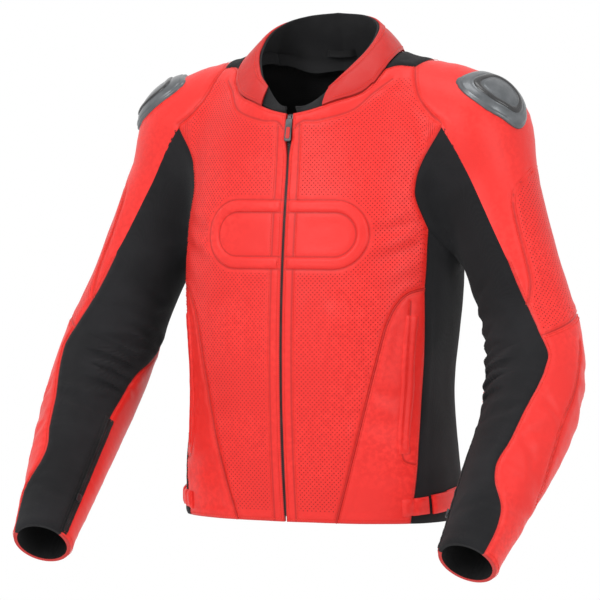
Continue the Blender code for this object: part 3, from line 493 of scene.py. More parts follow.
# folds round the sleeve: station, first and last angle, slant, width, depth
SLEEVE_FOLDS = (
    (0.215, 95, 190, 0.012, 0.0085, 0.0020), (0.248, 80, 200, -0.010, 0.009, 0.0022),
    (0.276, 85, 230, 0.012, 0.008, 0.0026), (0.300, 95, 200, -0.008, 0.007, 0.0030),
    (0.322, 85, 190, 0.010, 0.007, 0.0034), (0.344, 80, 195, -0.006, 0.007, 0.0034),
    (0.366, 85, 190, 0.008, 0.007, 0.0030), (0.392, 90, 180, -0.010, 0.008, 0.0026),
    (0.430, 60, 150, 0.016, 0.010, 0.0016), (0.470, 20, 75, -0.018, 0.012, 0.0018),
    (0.440, 10, 65, 0.016, 0.010, 0.0016), (0.405, 15, 62, -0.014, 0.009, 0.0016),
    (0.160, 20, 70, 0.030, 0.013, 0.0014), (0.335, -60, 40, 0.008, 0.010, 0.0014),
    (0.365, -70, 30, -0.008, 0.010, 0.0016), (0.540, -80, 60, 0.014, 0.010, 0.0014),
    (0.510, -90, 30, -0.010, 0.011, 0.0014), (0.570, 60, 140, 0.010, 0.008, 0.0012),
    (0.230, -100, -30, 0.012, 0.012, 0.0016), (0.120, 120, 200, 0.0, 0.012, 0.0016),
    (0.180, -80, -10, 0.016, 0.014, 0.0014),
)


def crease(distance, width, depth):
    """A valley with a soft ridge either side."""
    r = distance / width
    return -depth * np.exp(-r * r) + 0.45 * depth * np.exp(-((r - 1.7) ** 2))


def fold_heights(points):
    side = points.copy()
    side[:, 0] = np.abs(side[:, 0])
    height = np.zeros(len(points))
    sleeve = smooth_step(sleeves(side) - torso_form(side), 0.012, -0.012)
    for a, b, width, depth in FOLDS:
        a, b = np.array(a), np.array(b)
        t = ((side - a) @ (b - a)) / ((b - a) @ (b - a))
        away = np.linalg.norm(side - (a + np.clip(t, 0, 1)[:, None] * (b - a)), axis=1)
        fade = smooth_step(t, -0.05, 0.25) * smooth_step(t, 1.05, 0.55)
        height += crease(away, width, depth) * fade * (1 - sleeve)
    near = sleeve > 0.01
    if near.any():
        station, angle = sleeve_place(side[near])
        angle = angle % 360
        extra = np.zeros(near.sum())
        for at, low, high, slant, width, depth in SLEEVE_FOLDS:
            middle, reach = (low + high) / 2, (high - low) / 2
            turn = (angle - middle + 180) % 360 - 180
            line = at + slant * turn / reach
            fade = smooth_step(np.abs(turn), reach, reach * 0.35)
            wave = 1 + 0.25 * np.sin(turn * 0.11 + at * 90)
            extra += crease(np.abs(station - line), width * wave, depth) * fade
        height[near] += extra * sleeve[near]
    return height


def undulation(points):
    big = np.array([noise.noise(Vector(p) * 11.0 + Vector((3.1, 0.7, 9.2))) for p in points])
    small = np.array([noise.noise(Vector(p) * 37.0 + Vector((1.7, 5.2, 2.9))) for p in points])
    return 0.0013 * big + 0.00040 * small


def relief(points, soft=1.0):
    """How far the finished surface stands off the form, and the distance to the nearest seam."""
    distance, index = FIELD.find(points)
    depth = FIELD.depth[index]
    run = FIELD.run[index]
    groove = -SEAM_DEPTH * np.exp(-((distance / SEAM_WIDTH) ** 2))
    puff = 0.0010 * np.exp(-(((distance - 0.008) / 0.006) ** 2))
    wobble = np.sin(run * 430 + 2.5 * np.sin(run * 61)) * np.sin(run * 37 + 1.0)
    pucker = 0.00042 * wobble * np.exp(-distance / 0.009) * smooth_step(distance, 0.0, 0.003)
    height = depth * (groove + puff) + FIELD.pucker[index] * pucker
    calm = smooth_step(distance, 0.0, 0.014)
    height += (fold_heights(points) * (0.25 + 0.75 * calm) + undulation(points) * (0.2 + 0.8 * calm)) * soft
    return height, distance


# ---------------------------------------------------------------- meshes
def mesh_object(name, points, faces, mat, uv=None, values=None, sharp=50):
    """An object from points in the form's axes. values are named numbers, one for each point."""
    mesh = bpy.data.meshes.new(name)
    mesh.from_pydata((points - HANG_POINT).tolist(), [], [list(map(int, f)) for f in faces])
    if uv is not None:
        layer = mesh.uv_layers.new(name="UVMap")
        index = np.empty(len(mesh.loops), np.int64)
        mesh.loops.foreach_get("vertex_index", index)
        layer.data.foreach_set("uv", uv[index].astype(np.float32).ravel())
    for key, numbers in (values or {}).items():
        attribute = mesh.attributes.new(key, "FLOAT", "POINT")
        attribute.data.foreach_set("value", numbers.astype(np.float32))
    mesh.materials.append(mat)
    mesh.shade_smooth()
    mesh.set_sharp_from_angle(angle=math.radians(sharp))
    obj = bpy.data.objects.new(name, mesh)
    bpy.context.scene.collection.objects.link(obj)
    return obj


def belongs(obj, body, slot, *nodes):
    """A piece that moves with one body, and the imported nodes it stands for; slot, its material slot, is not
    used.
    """
    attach(obj, body)
    if nodes:
        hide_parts(*nodes)


def turned_out(points, faces, up):
    faces = np.asarray(faces)
    a, b, c = points[faces[:, 0]], points[faces[:, 1]], points[faces[:, 2]]
    total = (np.cross(b - a, c - a) * up[faces[:, 0]]).sum()
    return faces[:, ::-1] if total < 0 else faces


def border_edges(faces):
    count = faces.shape[1]
    ends = np.concatenate([faces[:, [i, (i + 1) % count]] for i in range(count)])
    key = np.sort(ends, axis=1)
    _, index, number = np.unique(key, axis=0, return_inverse=True, return_counts=True)
    return ends[number[index.reshape(-1)] == 1]


def with_skirt(points, faces, up, depth):
    """The surface with its border turned in, so that no edge looks like paper."""
    edges = border_edges(faces)
    rim = np.unique(edges)
    place = np.full(len(points), -1)
    place[rim] = np.arange(len(rim)) + len(points)
    lower = points[rim] - up[rim] * depth
    walls = np.stack([edges[:, 1], edges[:, 0], place[edges[:, 0]], place[edges[:, 1]]], -1)
    if faces.shape[1] == 3:
        tri = np.concatenate([walls[:, [0, 1, 2]], walls[:, [0, 2, 3]]])
        return np.vstack([points, lower]), np.vstack([faces, tri]), rim
    return np.vstack([points, lower]), np.vstack([faces, walls]), rim


def refine(points, faces):
    """Each triangle cut in four, with the new points on the form."""
    ends = np.sort(np.concatenate([faces[:, [0, 1]], faces[:, [1, 2]], faces[:, [2, 0]]]), axis=1)
    pairs, index = np.unique(ends, axis=0, return_inverse=True)
    index = index.reshape(-1) + len(points)
    middles = settle(points[pairs].mean(axis=1), rounds=3)
    m = len(faces)
    a, b, c = index[:m], index[m : 2 * m], index[2 * m :]
    f0, f1, f2 = faces.T
    new = np.concatenate([np.stack(t, -1) for t in ((f0, a, c), (a, f1, b), (c, b, f2), (a, b, c))])
    return np.vstack([points, middles]), new


def outline_gap(points, edge):
    """How far flat points are from a closed flat outline, and which of them lie inside it."""
    nxt = np.roll(edge, -1, axis=0)
    along = nxt - edge
    q = points[:, None, :]
    t = np.clip(((q - edge) * along).sum(-1) / (along * along).sum(-1), 0, 1)
    near = np.linalg.norm(edge + along * t[..., None] - q, axis=-1).min(axis=1)
    crosses = (edge[:, 1] > q[..., 1]) != (nxt[:, 1] > q[..., 1])
    rise = np.where(along[:, 1] == 0, 1e-12, along[:, 1])
    at = edge[:, 0] + (q[..., 1] - edge[:, 1]) / rise * along[:, 0]
    return near, (crosses & (at > q[..., 0])).sum(axis=1) % 2 == 1


def lattice_over(edge, spacing):
    """Flat points in staggered rows over an outline's box."""
    low, high = edge.min(axis=0), edge.max(axis=0)
    lattice = []
    for i, v in enumerate(np.arange(low[1] + spacing / 2, high[1], spacing * 0.87)):
        for u in np.arange(low[0] + spacing * (0.25 + 0.5 * (i % 2)), high[0], spacing):
            lattice.append((u, v))
    return np.array(lattice)


def fill_outline(outline, view, form, spacing):
    """Points and triangles inside a closed seam outline, as seen in one straight view."""
    edge = flat(outline, view)
    lattice = lattice_over(edge, spacing)
    keep = np.zeros(len(lattice), bool)
    for start in range(0, len(lattice), BATCH):
        near, inside = outline_gap(lattice[start : start + BATCH], edge)
        keep[start : start + BATCH] = inside & (near > spacing * 0.5)
    filling = lattice[keep]
    n = len(edge)
    ring = [(i, (i + 1) % n) for i in range(n)]
    flat_points = [Vector(c) for c in edge] + [Vector(c) for c in filling]
    faces = np.array([list(f) for f in delaunay_2d_cdt(flat_points, ring, [], 1, 1e-7)[2]])
    points = np.vstack([outline, settle(seen(filling, view, form))])
    return points, faces


def grid_faces(rows, columns, closed=False):
    last = columns if closed else columns - 1
    r, c = np.meshgrid(np.arange(rows - 1), np.arange(last), indexing="ij")
    d = (c + 1) % columns
    quads = [r * columns + c, r * columns + d, (r + 1) * columns + d, (r + 1) * columns + c]
    return np.stack(quads, -1).reshape(-1, 4)


# ---------------------------------------------------------------- flat measures for patterns
class FlatMap:
    """Arc lengths across and up a side of the torso, so that a pattern keeps its pitch."""

    def __init__(self, view):
        self.x = np.linspace(0, 0.19, 39)
        self.z = np.linspace(-0.61, 0.0, 123)
        grid = np.stack(np.meshgrid(self.x, self.z, indexing="ij"), -1)
        points = seen(grid.reshape(-1, 2), view, torso_form).reshape(39, 123, 3)
        across = np.clip(np.linalg.norm(np.diff(points, axis=0), axis=-1), 0, 0.012)
        rise = np.clip(np.linalg.norm(np.diff(points, axis=1), axis=-1), 0, 0.012)
        self.u = np.vstack([np.zeros((1, 123)), np.cumsum(across, axis=0)])
        self.v = np.hstack([np.zeros((39, 1)), np.cumsum(rise, axis=1)])

    def __call__(self, points):
        side = np.sign(points[:, 0])
        fx = np.clip(np.abs(points[:, 0]) / 0.19 * 38, 0, 37.999)
        fz = np.clip((points[:, 2] + 0.61) / 0.61 * 122, 0, 121.999)
        i, k = fx.astype(int), fz.astype(int)
        a, b = fx - i, fz - k
        out = []
        for field in (self.u, self.v):
            low = field[i, k] * (1 - a) + field[i + 1, k] * a
            high = field[i, k + 1] * (1 - a) + field[i + 1, k + 1] * a
            out.append(low * (1 - b) + high * b)
        return np.stack([out[0] * side, out[1]], -1)


def sleeve_uv(points):
    side = points.copy()
    side[:, 0] = np.abs(side[:, 0])
    station, angle = sleeve_place(side)
    return np.stack([np.radians((angle + 100) % 360 - 100) * 0.060, station], -1)


# ---------------------------------------------------------------- materials
def new_material(name, roughness, metallic=0.0):
    mat = bpy.data.materials.new(name)
    mat.use_nodes = True
    nodes = mat.node_tree.nodes
    shader = nodes["Principled BSDF"]
    shader.inputs["Roughness"].default_value = roughness
    shader.inputs["Metallic"].default_value = metallic
    return mat, nodes, mat.node_tree.links, shader


def maths(nodes, links, operation, a, b=None):
    made = nodes.new("ShaderNodeMath")
    made.operation = operation
    for socket, value in zip(made.inputs, (a, b)):
        if value is None:
            continue
        if isinstance(value, (int, float)):
            socket.default_value = value
        else:
            links.new(value, socket)
    return made.outputs[0]


def mixed(nodes, links, factor, a, b):
    made = nodes.new("ShaderNodeMix")
    made.data_type = "RGBA"
    links.new(factor, made.inputs[0])
    for socket, value in ((made.inputs[6], a), (made.inputs[7], b)):
        if isinstance(value, tuple):
            socket.default_value = (*value, 1.0)
        else:
            links.new(value, socket)
    return made.outputs[2]


def noise_node(nodes, links, coordinates, scale, detail=3.0):
    made = nodes.new("ShaderNodeTexNoise")
    made.inputs["Scale"].default_value = scale
    made.inputs["Detail"].default_value = detail
    links.new(coordinates, made.inputs["Vector"])
    return made.outputs[0]


def cell_node(nodes, links, coordinates, scale, feature="F1"):
    made = nodes.new("ShaderNodeTexVoronoi")
    made.feature = feature
    made.inputs["Scale"].default_value = scale
    links.new(coordinates, made.inputs["Vector"])
    return made.outputs["Distance"]


def ramp(nodes, links, value, low, high):
    made = nodes.new("ShaderNodeMapRange")
    made.interpolation_type = "SMOOTHSTEP"
    made.inputs["From Min"].default_value = low
    made.inputs["From Max"].default_value = high
    links.new(value, made.inputs["Value"])
    return made.outputs[0]


def bump(nodes, links, shader, layers):
    """Heights in metres, laid over each other."""
    before = None
    for height, strength, distance in layers:
        made = nodes.new("ShaderNodeBump")
        made.inputs["Strength"].default_value = strength
        made.inputs["Distance"].default_value = distance
        links.new(height, made.inputs["Height"])
        if before is not None:
            links.new(before, made.inputs["Normal"])
        before = made.outputs[0]
    links.new(before, shader.inputs["Normal"])


PERFORATION_PITCH = 0.0058
HOLE_RADIUS = 0.115  # as a share of the pitch


def holes_mask(nodes, links):
    """1 in a punched hole: rows of holes, every other row shifted by half."""
    uv = nodes.new("ShaderNodeUVMap")
    uv.uv_map = "UVMap"
    split = nodes.new("ShaderNodeSeparateXYZ")
    links.new(uv.outputs[0], split.inputs[0])
    u = maths(nodes, links, "DIVIDE", split.outputs[0], PERFORATION_PITCH)
    v = maths(nodes, links, "DIVIDE", split.outputs[1], PERFORATION_PITCH)
    nearest = None
    for shift in (0.0, 0.5):
        across = maths(nodes, links, "ADD", u, 100.0 + shift)
        up = maths(nodes, links, "ADD", v, 100.0 + shift)
        across = maths(nodes, links, "SUBTRACT", maths(nodes, links, "FRACT", across), 0.5)
        up = maths(nodes, links, "SUBTRACT", maths(nodes, links, "FRACT", up), 0.5)
        square = maths(
            nodes, links, "ADD",
            maths(nodes, links, "MULTIPLY", across, across), maths(nodes, links, "MULTIPLY", up, up),
        )
        reach = maths(nodes, links, "SQRT", square)
        nearest = reach if nearest is None else maths(nodes, links, "MINIMUM", nearest, reach)
    hole = ramp(nodes, links, nearest, HOLE_RADIUS * 1.25, HOLE_RADIUS * 0.75)
    area = nodes.new("ShaderNodeAttribute")
    area.attribute_name = "punched"
    return maths(nodes, links, "MULTIPLY", hole, ramp(nodes, links, area.outputs["Fac"], 0.4, 0.6))


def leather(name, colour, shade, punched=False):
    mat, nodes, links, shader = new_material(name, 0.44)
    place = nodes.new("ShaderNodeTexCoord").outputs["Object"]
    mottle = noise_node(nodes, links, place, 9.0, 4.0)
    fine = noise_node(nodes, links, place, 160.0, 3.0)
    tone = mixed(nodes, links, ramp(nodes, links, mottle, 0.30, 0.72), shade, colour)
    tone = mixed(nodes, links, ramp(nodes, links, fine, 0.66, 0.36), tone, shade)
    # Painted shade: the leather's colour is darkened towards each seam's groove, where shade falls.
    near_seam = nodes.new("ShaderNodeAttribute")
    near_seam.attribute_name = "seam"
    valley = ramp(nodes, links, near_seam.outputs["Fac"], 0.0022, 0.0003)
    groove_shade_colour = tuple(c * 0.42 for c in shade)
    tone = mixed(nodes, links, maths(nodes, links, "MULTIPLY", valley, 0.55), tone, groove_shade_colour)
    cells = cell_node(nodes, links, place, 620.0, "DISTANCE_TO_EDGE")
    grain = ramp(nodes, links, cells, 0.0, 0.18)
    pores = cell_node(nodes, links, place, 1500.0)
    layers = [(grain, 0.16, 0.00045), (pores, 0.10, 0.0003), (fine, 0.16, 0.0012)]
    rough = maths(nodes, links, "MULTIPLY_ADD", fine, 0.14)
    rough.node.inputs[2].default_value = 0.35
    if punched:
        hole = holes_mask(nodes, links)
        # Painted shade: the punched holes are not cut in the mesh; each is painted dark red for the shade on
        # its walls, over the dark lining behind it.
        tone = mixed(nodes, links, hole, tone, (0.16, 0.003, 0.003))
        inverse = maths(nodes, links, "SUBTRACT", 1.0, hole)
        layers.append((inverse, 0.7, 0.0007))
        rough = maths(nodes, links, "MAXIMUM", rough, maths(nodes, links, "MULTIPLY", hole, 0.9))
    links.new(tone, shader.inputs["Base Color"])
    links.new(rough, shader.inputs["Roughness"])
    shader.inputs["Specular IOR Level"].default_value = 0.30
    bump(nodes, links, shader, layers)
    return mat


def fabric(name, colour, light, pitch, rough=0.85, strength=0.5, sheen=0.04):
    """Woven cloth: two crossing waves in flat measures of the surface."""
    mat, nodes, links, shader = new_material(name, rough)
    place = nodes.new("ShaderNodeTexCoord").outputs["Object"]
    split = nodes.new("ShaderNodeSeparateXYZ")
    links.new(place, split.inputs[0])
    lines = []
    for a, b in ((0, 2), (1, 2)):
        for sign in (1.0, -1.0):
            run = maths(nodes, links, "MULTIPLY", split.outputs[b], sign)
            run = maths(nodes, links, "ADD", split.outputs[a], run)
            lines.append(maths(nodes, links, "SINE", maths(nodes, links, "MULTIPLY", run, 6.2832 / pitch)))
    weave = maths(nodes, links, "ADD", maths(nodes, links, "MULTIPLY", lines[0], lines[1]),
                  maths(nodes, links, "MULTIPLY", lines[2], lines[3]))
    cloud = noise_node(nodes, links, place, 14.0, 3.0)
    fluff = noise_node(nodes, links, place, 700.0, 2.0)
    tone = mixed(nodes, links, ramp(nodes, links, cloud, 0.35, 0.7), colour, light)
    tone = mixed(nodes, links, ramp(nodes, links, weave, 0.4, 1.6), tone, light)
    links.new(tone, shader.inputs["Base Color"])
    shader.inputs["Sheen Weight"].default_value = sheen
    shader.inputs["Sheen Roughness"].default_value = 0.5
    shader.inputs["Specular IOR Level"].default_value = 0.14
    bump(nodes, links, shader, [(weave, strength, 0.00025), (fluff, 0.25, 0.0004)])
    return mat


def hard(name, colour, light, roughness, metallic, scratch=0.1, coat=0.0):
    """Moulded shell or metal with faint brushing and worn lighter spots."""
    mat, nodes, links, shader = new_material(name, roughness, metallic)
    place = nodes.new("ShaderNodeTexCoord").outputs["Object"]
    stretch = nodes.new("ShaderNodeMapping")
    stretch.inputs["Scale"].default_value = (40.0, 900.0, 60.0)
    links.new(place, stretch.inputs["Vector"])
    brushed = noise_node(nodes, links, stretch.outputs[0], 1.0, 3.0)
    cloud = noise_node(nodes, links, place, 60.0, 4.0)
    links.new(mixed(nodes, links, ramp(nodes, links, cloud, 0.35, 0.75), colour, light),
              shader.inputs["Base Color"])
    rough = maths(nodes, links, "MULTIPLY_ADD", brushed, scratch)
    rough.node.inputs[2].default_value = roughness - scratch / 2
    links.new(rough, shader.inputs["Roughness"])
    shader.inputs["Coat Weight"].default_value = coat
    bump(nodes, links, shader, [(brushed, 0.12, 0.0002), (cloud, 0.08, 0.0005)])
    return mat


RED = (0.74, 0.026, 0.020)
RED_SHADE = (0.63, 0.017, 0.013)
MATS = {
    "red": leather("red_leather_look", RED, RED_SHADE),
    "punched": leather("punched_leather_look", RED, RED_SHADE, punched=True),
    "thread": fabric("red_thread_look", (0.62, 0.03, 0.02), (0.80, 0.06, 0.04), 0.0006, 0.6, 0.4, 0.0),
    "stretch": fabric("stretch_look", (0.0085, 0.0085, 0.0095), (0.014, 0.014, 0.0155), 0.0016),
    "lining": fabric("lining_look", (0.007, 0.007, 0.0075), (0.014, 0.014, 0.015), 0.0024, 0.9, 0.7),
    "knit": fabric("collar_knit_look", (0.010, 0.010, 0.011), (0.020, 0.020, 0.021), 0.0012, 0.85, 0.6),
    "tape": fabric("zip_tape_look", (0.008, 0.008, 0.0085), (0.018, 0.018, 0.019), 0.0010, 0.8, 0.7),
    "cup": hard("cup_look", (0.085, 0.092, 0.098), (0.125, 0.132, 0.14), 0.34, 0.55, 0.12, 0.25),
    "inlay": hard("inlay_look", (0.008, 0.008, 0.009), (0.016, 0.016, 0.017), 0.28, 0.0, 0.08, 0.3),
    "metal": hard("zip_metal_look", (0.030, 0.030, 0.032), (0.07, 0.07, 0.075), 0.32, 0.8, 0.15),
    "teeth": hard("zip_teeth_look", (0.014, 0.014, 0.015), (0.035, 0.035, 0.037), 0.35, 0.3, 0.1),
    "foam": fabric("foam_look", (0.04, 0.04, 0.045), (0.06, 0.06, 0.065), 0.0030, 0.9, 0.8),
}


# ---------------------------------------------------------------- the seam field
FIELD = SeamField()
CHEST_Z = -0.228
CHEST_HALF = 0.036
CHEST_REACH = 0.104


def chest_loop(inset):
    """Half of a long rounded frame across the chest, from its top centre to its bottom centre."""
    half = CHEST_HALF - inset
    turn = np.radians(np.linspace(90, -90, 17))
    bend_x = CHEST_REACH - CHEST_HALF
    arc = np.stack([bend_x + half * np.cos(turn), CHEST_Z + half * np.sin(turn)], -1)
    start = zip_edge(CHEST_Z + half) + 0.0005
    top = [(x, CHEST_Z + half) for x in np.linspace(start, bend_x, 14)[:-1]]
    low = [(x, CHEST_Z - half) for x in np.linspace(bend_x, start, 14)[1:]]
    return np.vstack([top, arc, low])


NECK_STRIP = ((0.0060, -0.0950), (0.018, -0.0840), (0.041, -0.0825), (0.080, -0.0700), (0.100, -0.0470),
              (0.1165, -0.0300))
PLACKET_X = 0.0150


def make_field():
    named = [k for k in SEAMS if not k.startswith(("hem", "zip"))]
    for key in named:
        FIELD.add(SEAMS[key])
    for key in ("hem_front", "hem_lower", "hem_side", "hem_back", "zip"):
        FIELD.add(SEAMS[key], 0.9, 0.35)
    marks = {}
    strip = spline([(x, z) for x, z in NECK_STRIP], STEP)
    marks["neck_strip"] = settle(seen(strip, "front", torso_form))
    placket_z = np.linspace(HEM_Z, -0.086, 120)
    marks["placket"] = seen(np.stack([np.full(120, PLACKET_X), placket_z], -1), "front")
    marks["chest_outer"] = seen(chest_loop(-0.008), "front")
    marks["chest_inner"] = seen(chest_loop(0.008), "front")
    marks["welt"] = settle(spline(
        [(0.161, -0.085, -0.312), (0.152, -0.083, -0.416), (0.149, -0.088, -0.480),
         (0.150, -0.088, -0.511), (0.161, -0.075, -0.519)], STEP))
    marks["patch_front"] = sleeve_curve(PATCH_EDGE)
    marks["patch_top"] = sleeve_curve(PATCH_BACK)
    marks["forearm"] = sleeve_curve(FOREARM_SEAM)
    hem_fold = np.stack([np.linspace(PLACKET_X, 0.150, 60), np.full(60, HEM_Z + 0.012)], -1)
    marks["hem_fold"] = seen(hem_fold, "front")
    marks["protector_left"] = settle(seen(spline([(0.0, -0.150), (0.060, -0.155), (0.080, -0.200),
                                                  (0.066, -0.320), (0.0, -0.345)], STEP), "back"))
    marks["back_yoke"] = settle(seen(spline([(0.0, -0.088), (0.080, -0.082), (0.150, -0.100)], STEP), "back"))
    marks["protector_right"] = mirrored(marks["protector_left"])
    marks["back_yoke_right"] = mirrored(marks["back_yoke"])
    for key, depth, pucker in (
        ("neck_strip", 0.55, 0.6), ("placket", 0.35, 0.3),
        ("chest_outer", 0.30, 0.0), ("chest_inner", 0.30, 0.0),
        ("welt", 0.8, 0.6), ("patch_front", 0.9, 0.8), ("patch_top", 0.9, 0.8), ("forearm", 0.8, 0.8),
        ("protector_left", 0.5, 0.3), ("back_yoke", 0.9, 0.8),
    ):
        FIELD.add(marks[key], depth, pucker)
    stations = np.linspace(ARM_TOP, ARM_LENGTH, 140)
    marks["sleeve_front"] = on_sleeve(stations, edge_angle(FRONT_EDGE, stations))
    marks["sleeve_rear"] = on_sleeve(stations, edge_angle(REAR_EDGE, stations))
    angles = np.linspace(edge_angle(REAR_EDGE, 0.26) - 360, edge_angle(FRONT_EDGE, 0.304), 90)
    marks["cross"] = on_sleeve(cross_station(angles), angles)
    ring = np.linspace(0, 360, 120)
    marks["cuff"] = on_sleeve(np.full(120, ARM_LENGTH), ring)
    FIELD.add(marks["sleeve_front"])
    FIELD.add(marks["sleeve_rear"])
    FIELD.add(marks["cross"])
    FIELD.add(marks["cuff"], 0.8, 0.2)
    return marks


MARKS = make_field()
FIELD.close()


# ---------------------------------------------------------------- panels
LIFT = 0.0004
NECK_RING = chain(SEAMS["neck_front"], SEAMS["neck_side"], SEAMS["neck_back"])


def lay(name, points, faces, mat, uv=None, punched=None, calm=1.0, lift=LIFT, skirt=SKIRT):
    """A finished skin over points of the form."""
    up = normals(points)
    faces = turned_out(points, faces, up)
    height, distance = relief(points, calm)
    surface, faces, rim = with_skirt(points + up * (height + lift)[:, None], faces, up, skirt)
    values = {"seam": np.concatenate([distance, distance[rim]])}
    if punched is not None:
        margin = np.where(punched > 0, np.minimum(punched, distance - 0.0052), punched)
        share = np.clip(0.5 + margin / 0.008, 0, 1)
        values["punched"] = np.concatenate([share, np.zeros(len(rim))])
    if uv is not None:
        uv = np.vstack([uv, uv[rim]])
    return mesh_object(name, surface, faces, mat, uv, values)


def inside_line(line, edge):
    """The longest run of a flat line that lies well inside a flat outline."""
    near, inside = outline_gap(line, edge)
    good = inside & (near > 0.0016)
    best, start = (0, 0), None
    for i, ok in enumerate(list(good) + [False]):
        if ok and start is None:
            start = i
        if not ok and start is not None:
            if i - start > best[1] - best[0]:
                best = (start, i)
            start = None
    return line[best[0] : best[1]]


def side_rows(line, away):
    """Points along both sides of a flat line."""
    way = np.gradient(line, axis=0)
    way /= np.maximum(np.linalg.norm(way, axis=1, keepdims=True), 1e-9)
    side = np.stack([-way[:, 1], way[:, 0]], -1)
    return np.vstack([line + side * away, line - side * away])


def fill_panel(outline, view, marks=(), form=body_form, spacing=FILL):
    """Points and triangles inside a seam outline, with points along the marks that cross it."""
    edge = flat(outline, view)
    lines = []
    for key in marks:
        line = inside_line(flat(MARKS[key], view), edge)
        if len(line) > 3:
            lines.append(line)
    n = len(edge)
    ring = [(i, (i + 1) % n) for i in range(n)]
    fixed = [edge]
    total = n
    for line in lines:
        ring += [(total + i, total + i + 1) for i in range(len(line) - 1)]
        fixed.append(line)
        total += len(line)
    along = np.roll(edge, -1, axis=0) - edge
    long = np.linalg.norm(along, axis=1)
    inward = np.stack([-along[:, 1], along[:, 0]], -1) / np.maximum(long, 1e-9)[:, None]
    middle = edge + along / 2
    loose = [np.vstack([middle + inward * SEAM_ROW, middle - inward * SEAM_ROW])]
    loose += [side_rows(line, SEAM_ROW) for line in lines]
    hard_points = np.vstack(fixed)
    candidates = np.vstack(loose + [lattice_over(edge, spacing)])
    first = sum(len(part) for part in loose)
    reach = np.full(len(candidates), SEAM_CLEAR)
    reach[first:] = spacing * 0.5
    keep = np.zeros(len(candidates), bool)
    for start in range(0, len(candidates), BATCH):
        q = candidates[start : start + BATCH]
        near, inside = outline_gap(q, edge)
        clear = np.linalg.norm(hard_points - q[:, None, :], axis=-1).min(axis=1)
        limit = reach[start : start + BATCH]
        keep[start : start + BATCH] = inside & (near > np.minimum(limit, SEAM_CLEAR)) & (clear > limit * 0.9)
    tree = kdtree.KDTree(len(candidates))
    for i, p in enumerate(candidates):
        tree.insert((p[0], p[1], 0.0), i)
    tree.balance()
    chosen = np.zeros(len(candidates), bool)
    for i in np.flatnonzero(keep):
        gap = 0.0022 if i < first else spacing * 0.55
        if not any(chosen[j] for _, j, _ in tree.find_range((*candidates[i], 0.0), gap)):
            chosen[i] = True
    filling = candidates[chosen]
    flat_points = [Vector(c) for c in hard_points] + [Vector(c) for c in filling]
    result = delaunay_2d_cdt(flat_points, ring, [], 1, 1e-7)
    faces = np.array([list(f) for f in result[2]])
    corners = np.array([list(v) for v in result[0]])
    points = settle(seen(corners, view, form))
    for i, sources in enumerate(result[3]):
        on_edge = [j for j in sources if j < n]
        if on_edge:
            points[i] = outline[on_edge[0]]
    return points, faces


def both_sides(outline_half):
    other = mirrored(outline_half)[::-1][1:-1]
    return np.vstack([outline_half, other])


def torso_outlines(s):
    """Each panel's outline, the view it is filled in, the form it lies on and its material."""
    front = chain(
        s["hem_front"], s["princess"], s["side_high"], s["armhole_front"],
        s["raglan_front"], s["yoke_front"], s["neck_front"][::-1], s["zip"][::-1],
    )[:-1]
    lower = chain(s["hem_lower"], s["side_low"], s["princess"][::-1])[:-1]
    side = chain(
        s["hem_side"], s["back_low"], s["back_mid"], s["back_high"], s["armpit_rear"][::-1],
        s["armpit_front"][::-1], s["side_high"][::-1], s["side_low"][::-1],
    )[:-1]
    yoke = chain(s["yoke_outer"], s["yoke_rear"], s["neck_side"][::-1], s["yoke_front"][::-1])[:-1]
    back = chain(
        s["waist_high"][::-1], s["back_high"], s["armhole_rear"], s["raglan_rear"],
        s["yoke_rear"], s["neck_back"],
    )
    lumbar = chain(s["waist_low"][::-1], s["back_mid"], s["waist_high"])
    hem = chain(s["hem_back"][::-1], s["back_low"], s["waist_low"])
    return {
        "front_panel": (front, "front", body_form, "punched"),
        "lower_front": (lower, "front", body_form, "red"),
        "side_stretch": (side, "side", torso_form, "stretch"),
        "yoke_stretch": (yoke, "top", body_form, "stretch"),
        "back_panel": (both_sides(back), "back", body_form, "punched"),
        "lumbar_stretch": (both_sides(lumbar), "back", body_form, "stretch"),
        "back_hem_panel": (both_sides(hem), "back", body_form, "red"),
    }


PANEL_MARKS = {
    "front_panel": ("neck_strip", "placket", "chest_outer", "chest_inner", "hem_fold"),
    "lower_front": ("hem_fold", "welt"),
    "back_panel": ("protector_left", "back_yoke", "protector_right", "back_yoke_right"),
}


def front_punched(points):
    """Positive inside the punched part of the front: the distance to its edge."""
    x, z = np.abs(points[:, 0]), points[:, 2]
    strip = np.array(NECK_STRIP)
    top = np.interp(x, strip[:, 0], strip[:, 1]) - z
    bend_x = CHEST_REACH - CHEST_HALF
    stadium = np.hypot(np.maximum(x - bend_x, 0), z - CHEST_Z) - CHEST_HALF - 0.008
    above = np.minimum(x - PLACKET_X, top)
    return np.minimum(np.minimum(above, stadium), z - HEM_Z - 0.014)


PANEL_SLOTS = {"punched": "perforated_leather", "red": "red_leather", "stretch": "stretch_panel"}


def make_torso():
    front_map, back_map = FlatMap("front"), FlatMap("back")
    for name, (outline, view, form, mat) in torso_outlines(SEAMS).items():
        points, faces = fill_panel(outline, view, PANEL_MARKS.get(name, ()), form)
        points, faces = refine(points, faces)
        paired = name in ("front_panel", "lower_front", "side_stretch", "yoke_stretch")
        for label, flip in SIDES if paired else (("", same),):
            full = name + "_" + label if paired else name
            placed = flip(points)
            uv = punched = None
            if name == "front_panel":
                uv, punched = front_map(placed), front_punched(placed)
            elif name == "back_panel":
                uv, punched = back_map(placed), np.full(len(placed), 0.02)
            obj = lay(full + "_skin", placed, faces, MATS[mat], uv, punched)
            belongs(obj, "shell", PANEL_SLOTS[mat], full)


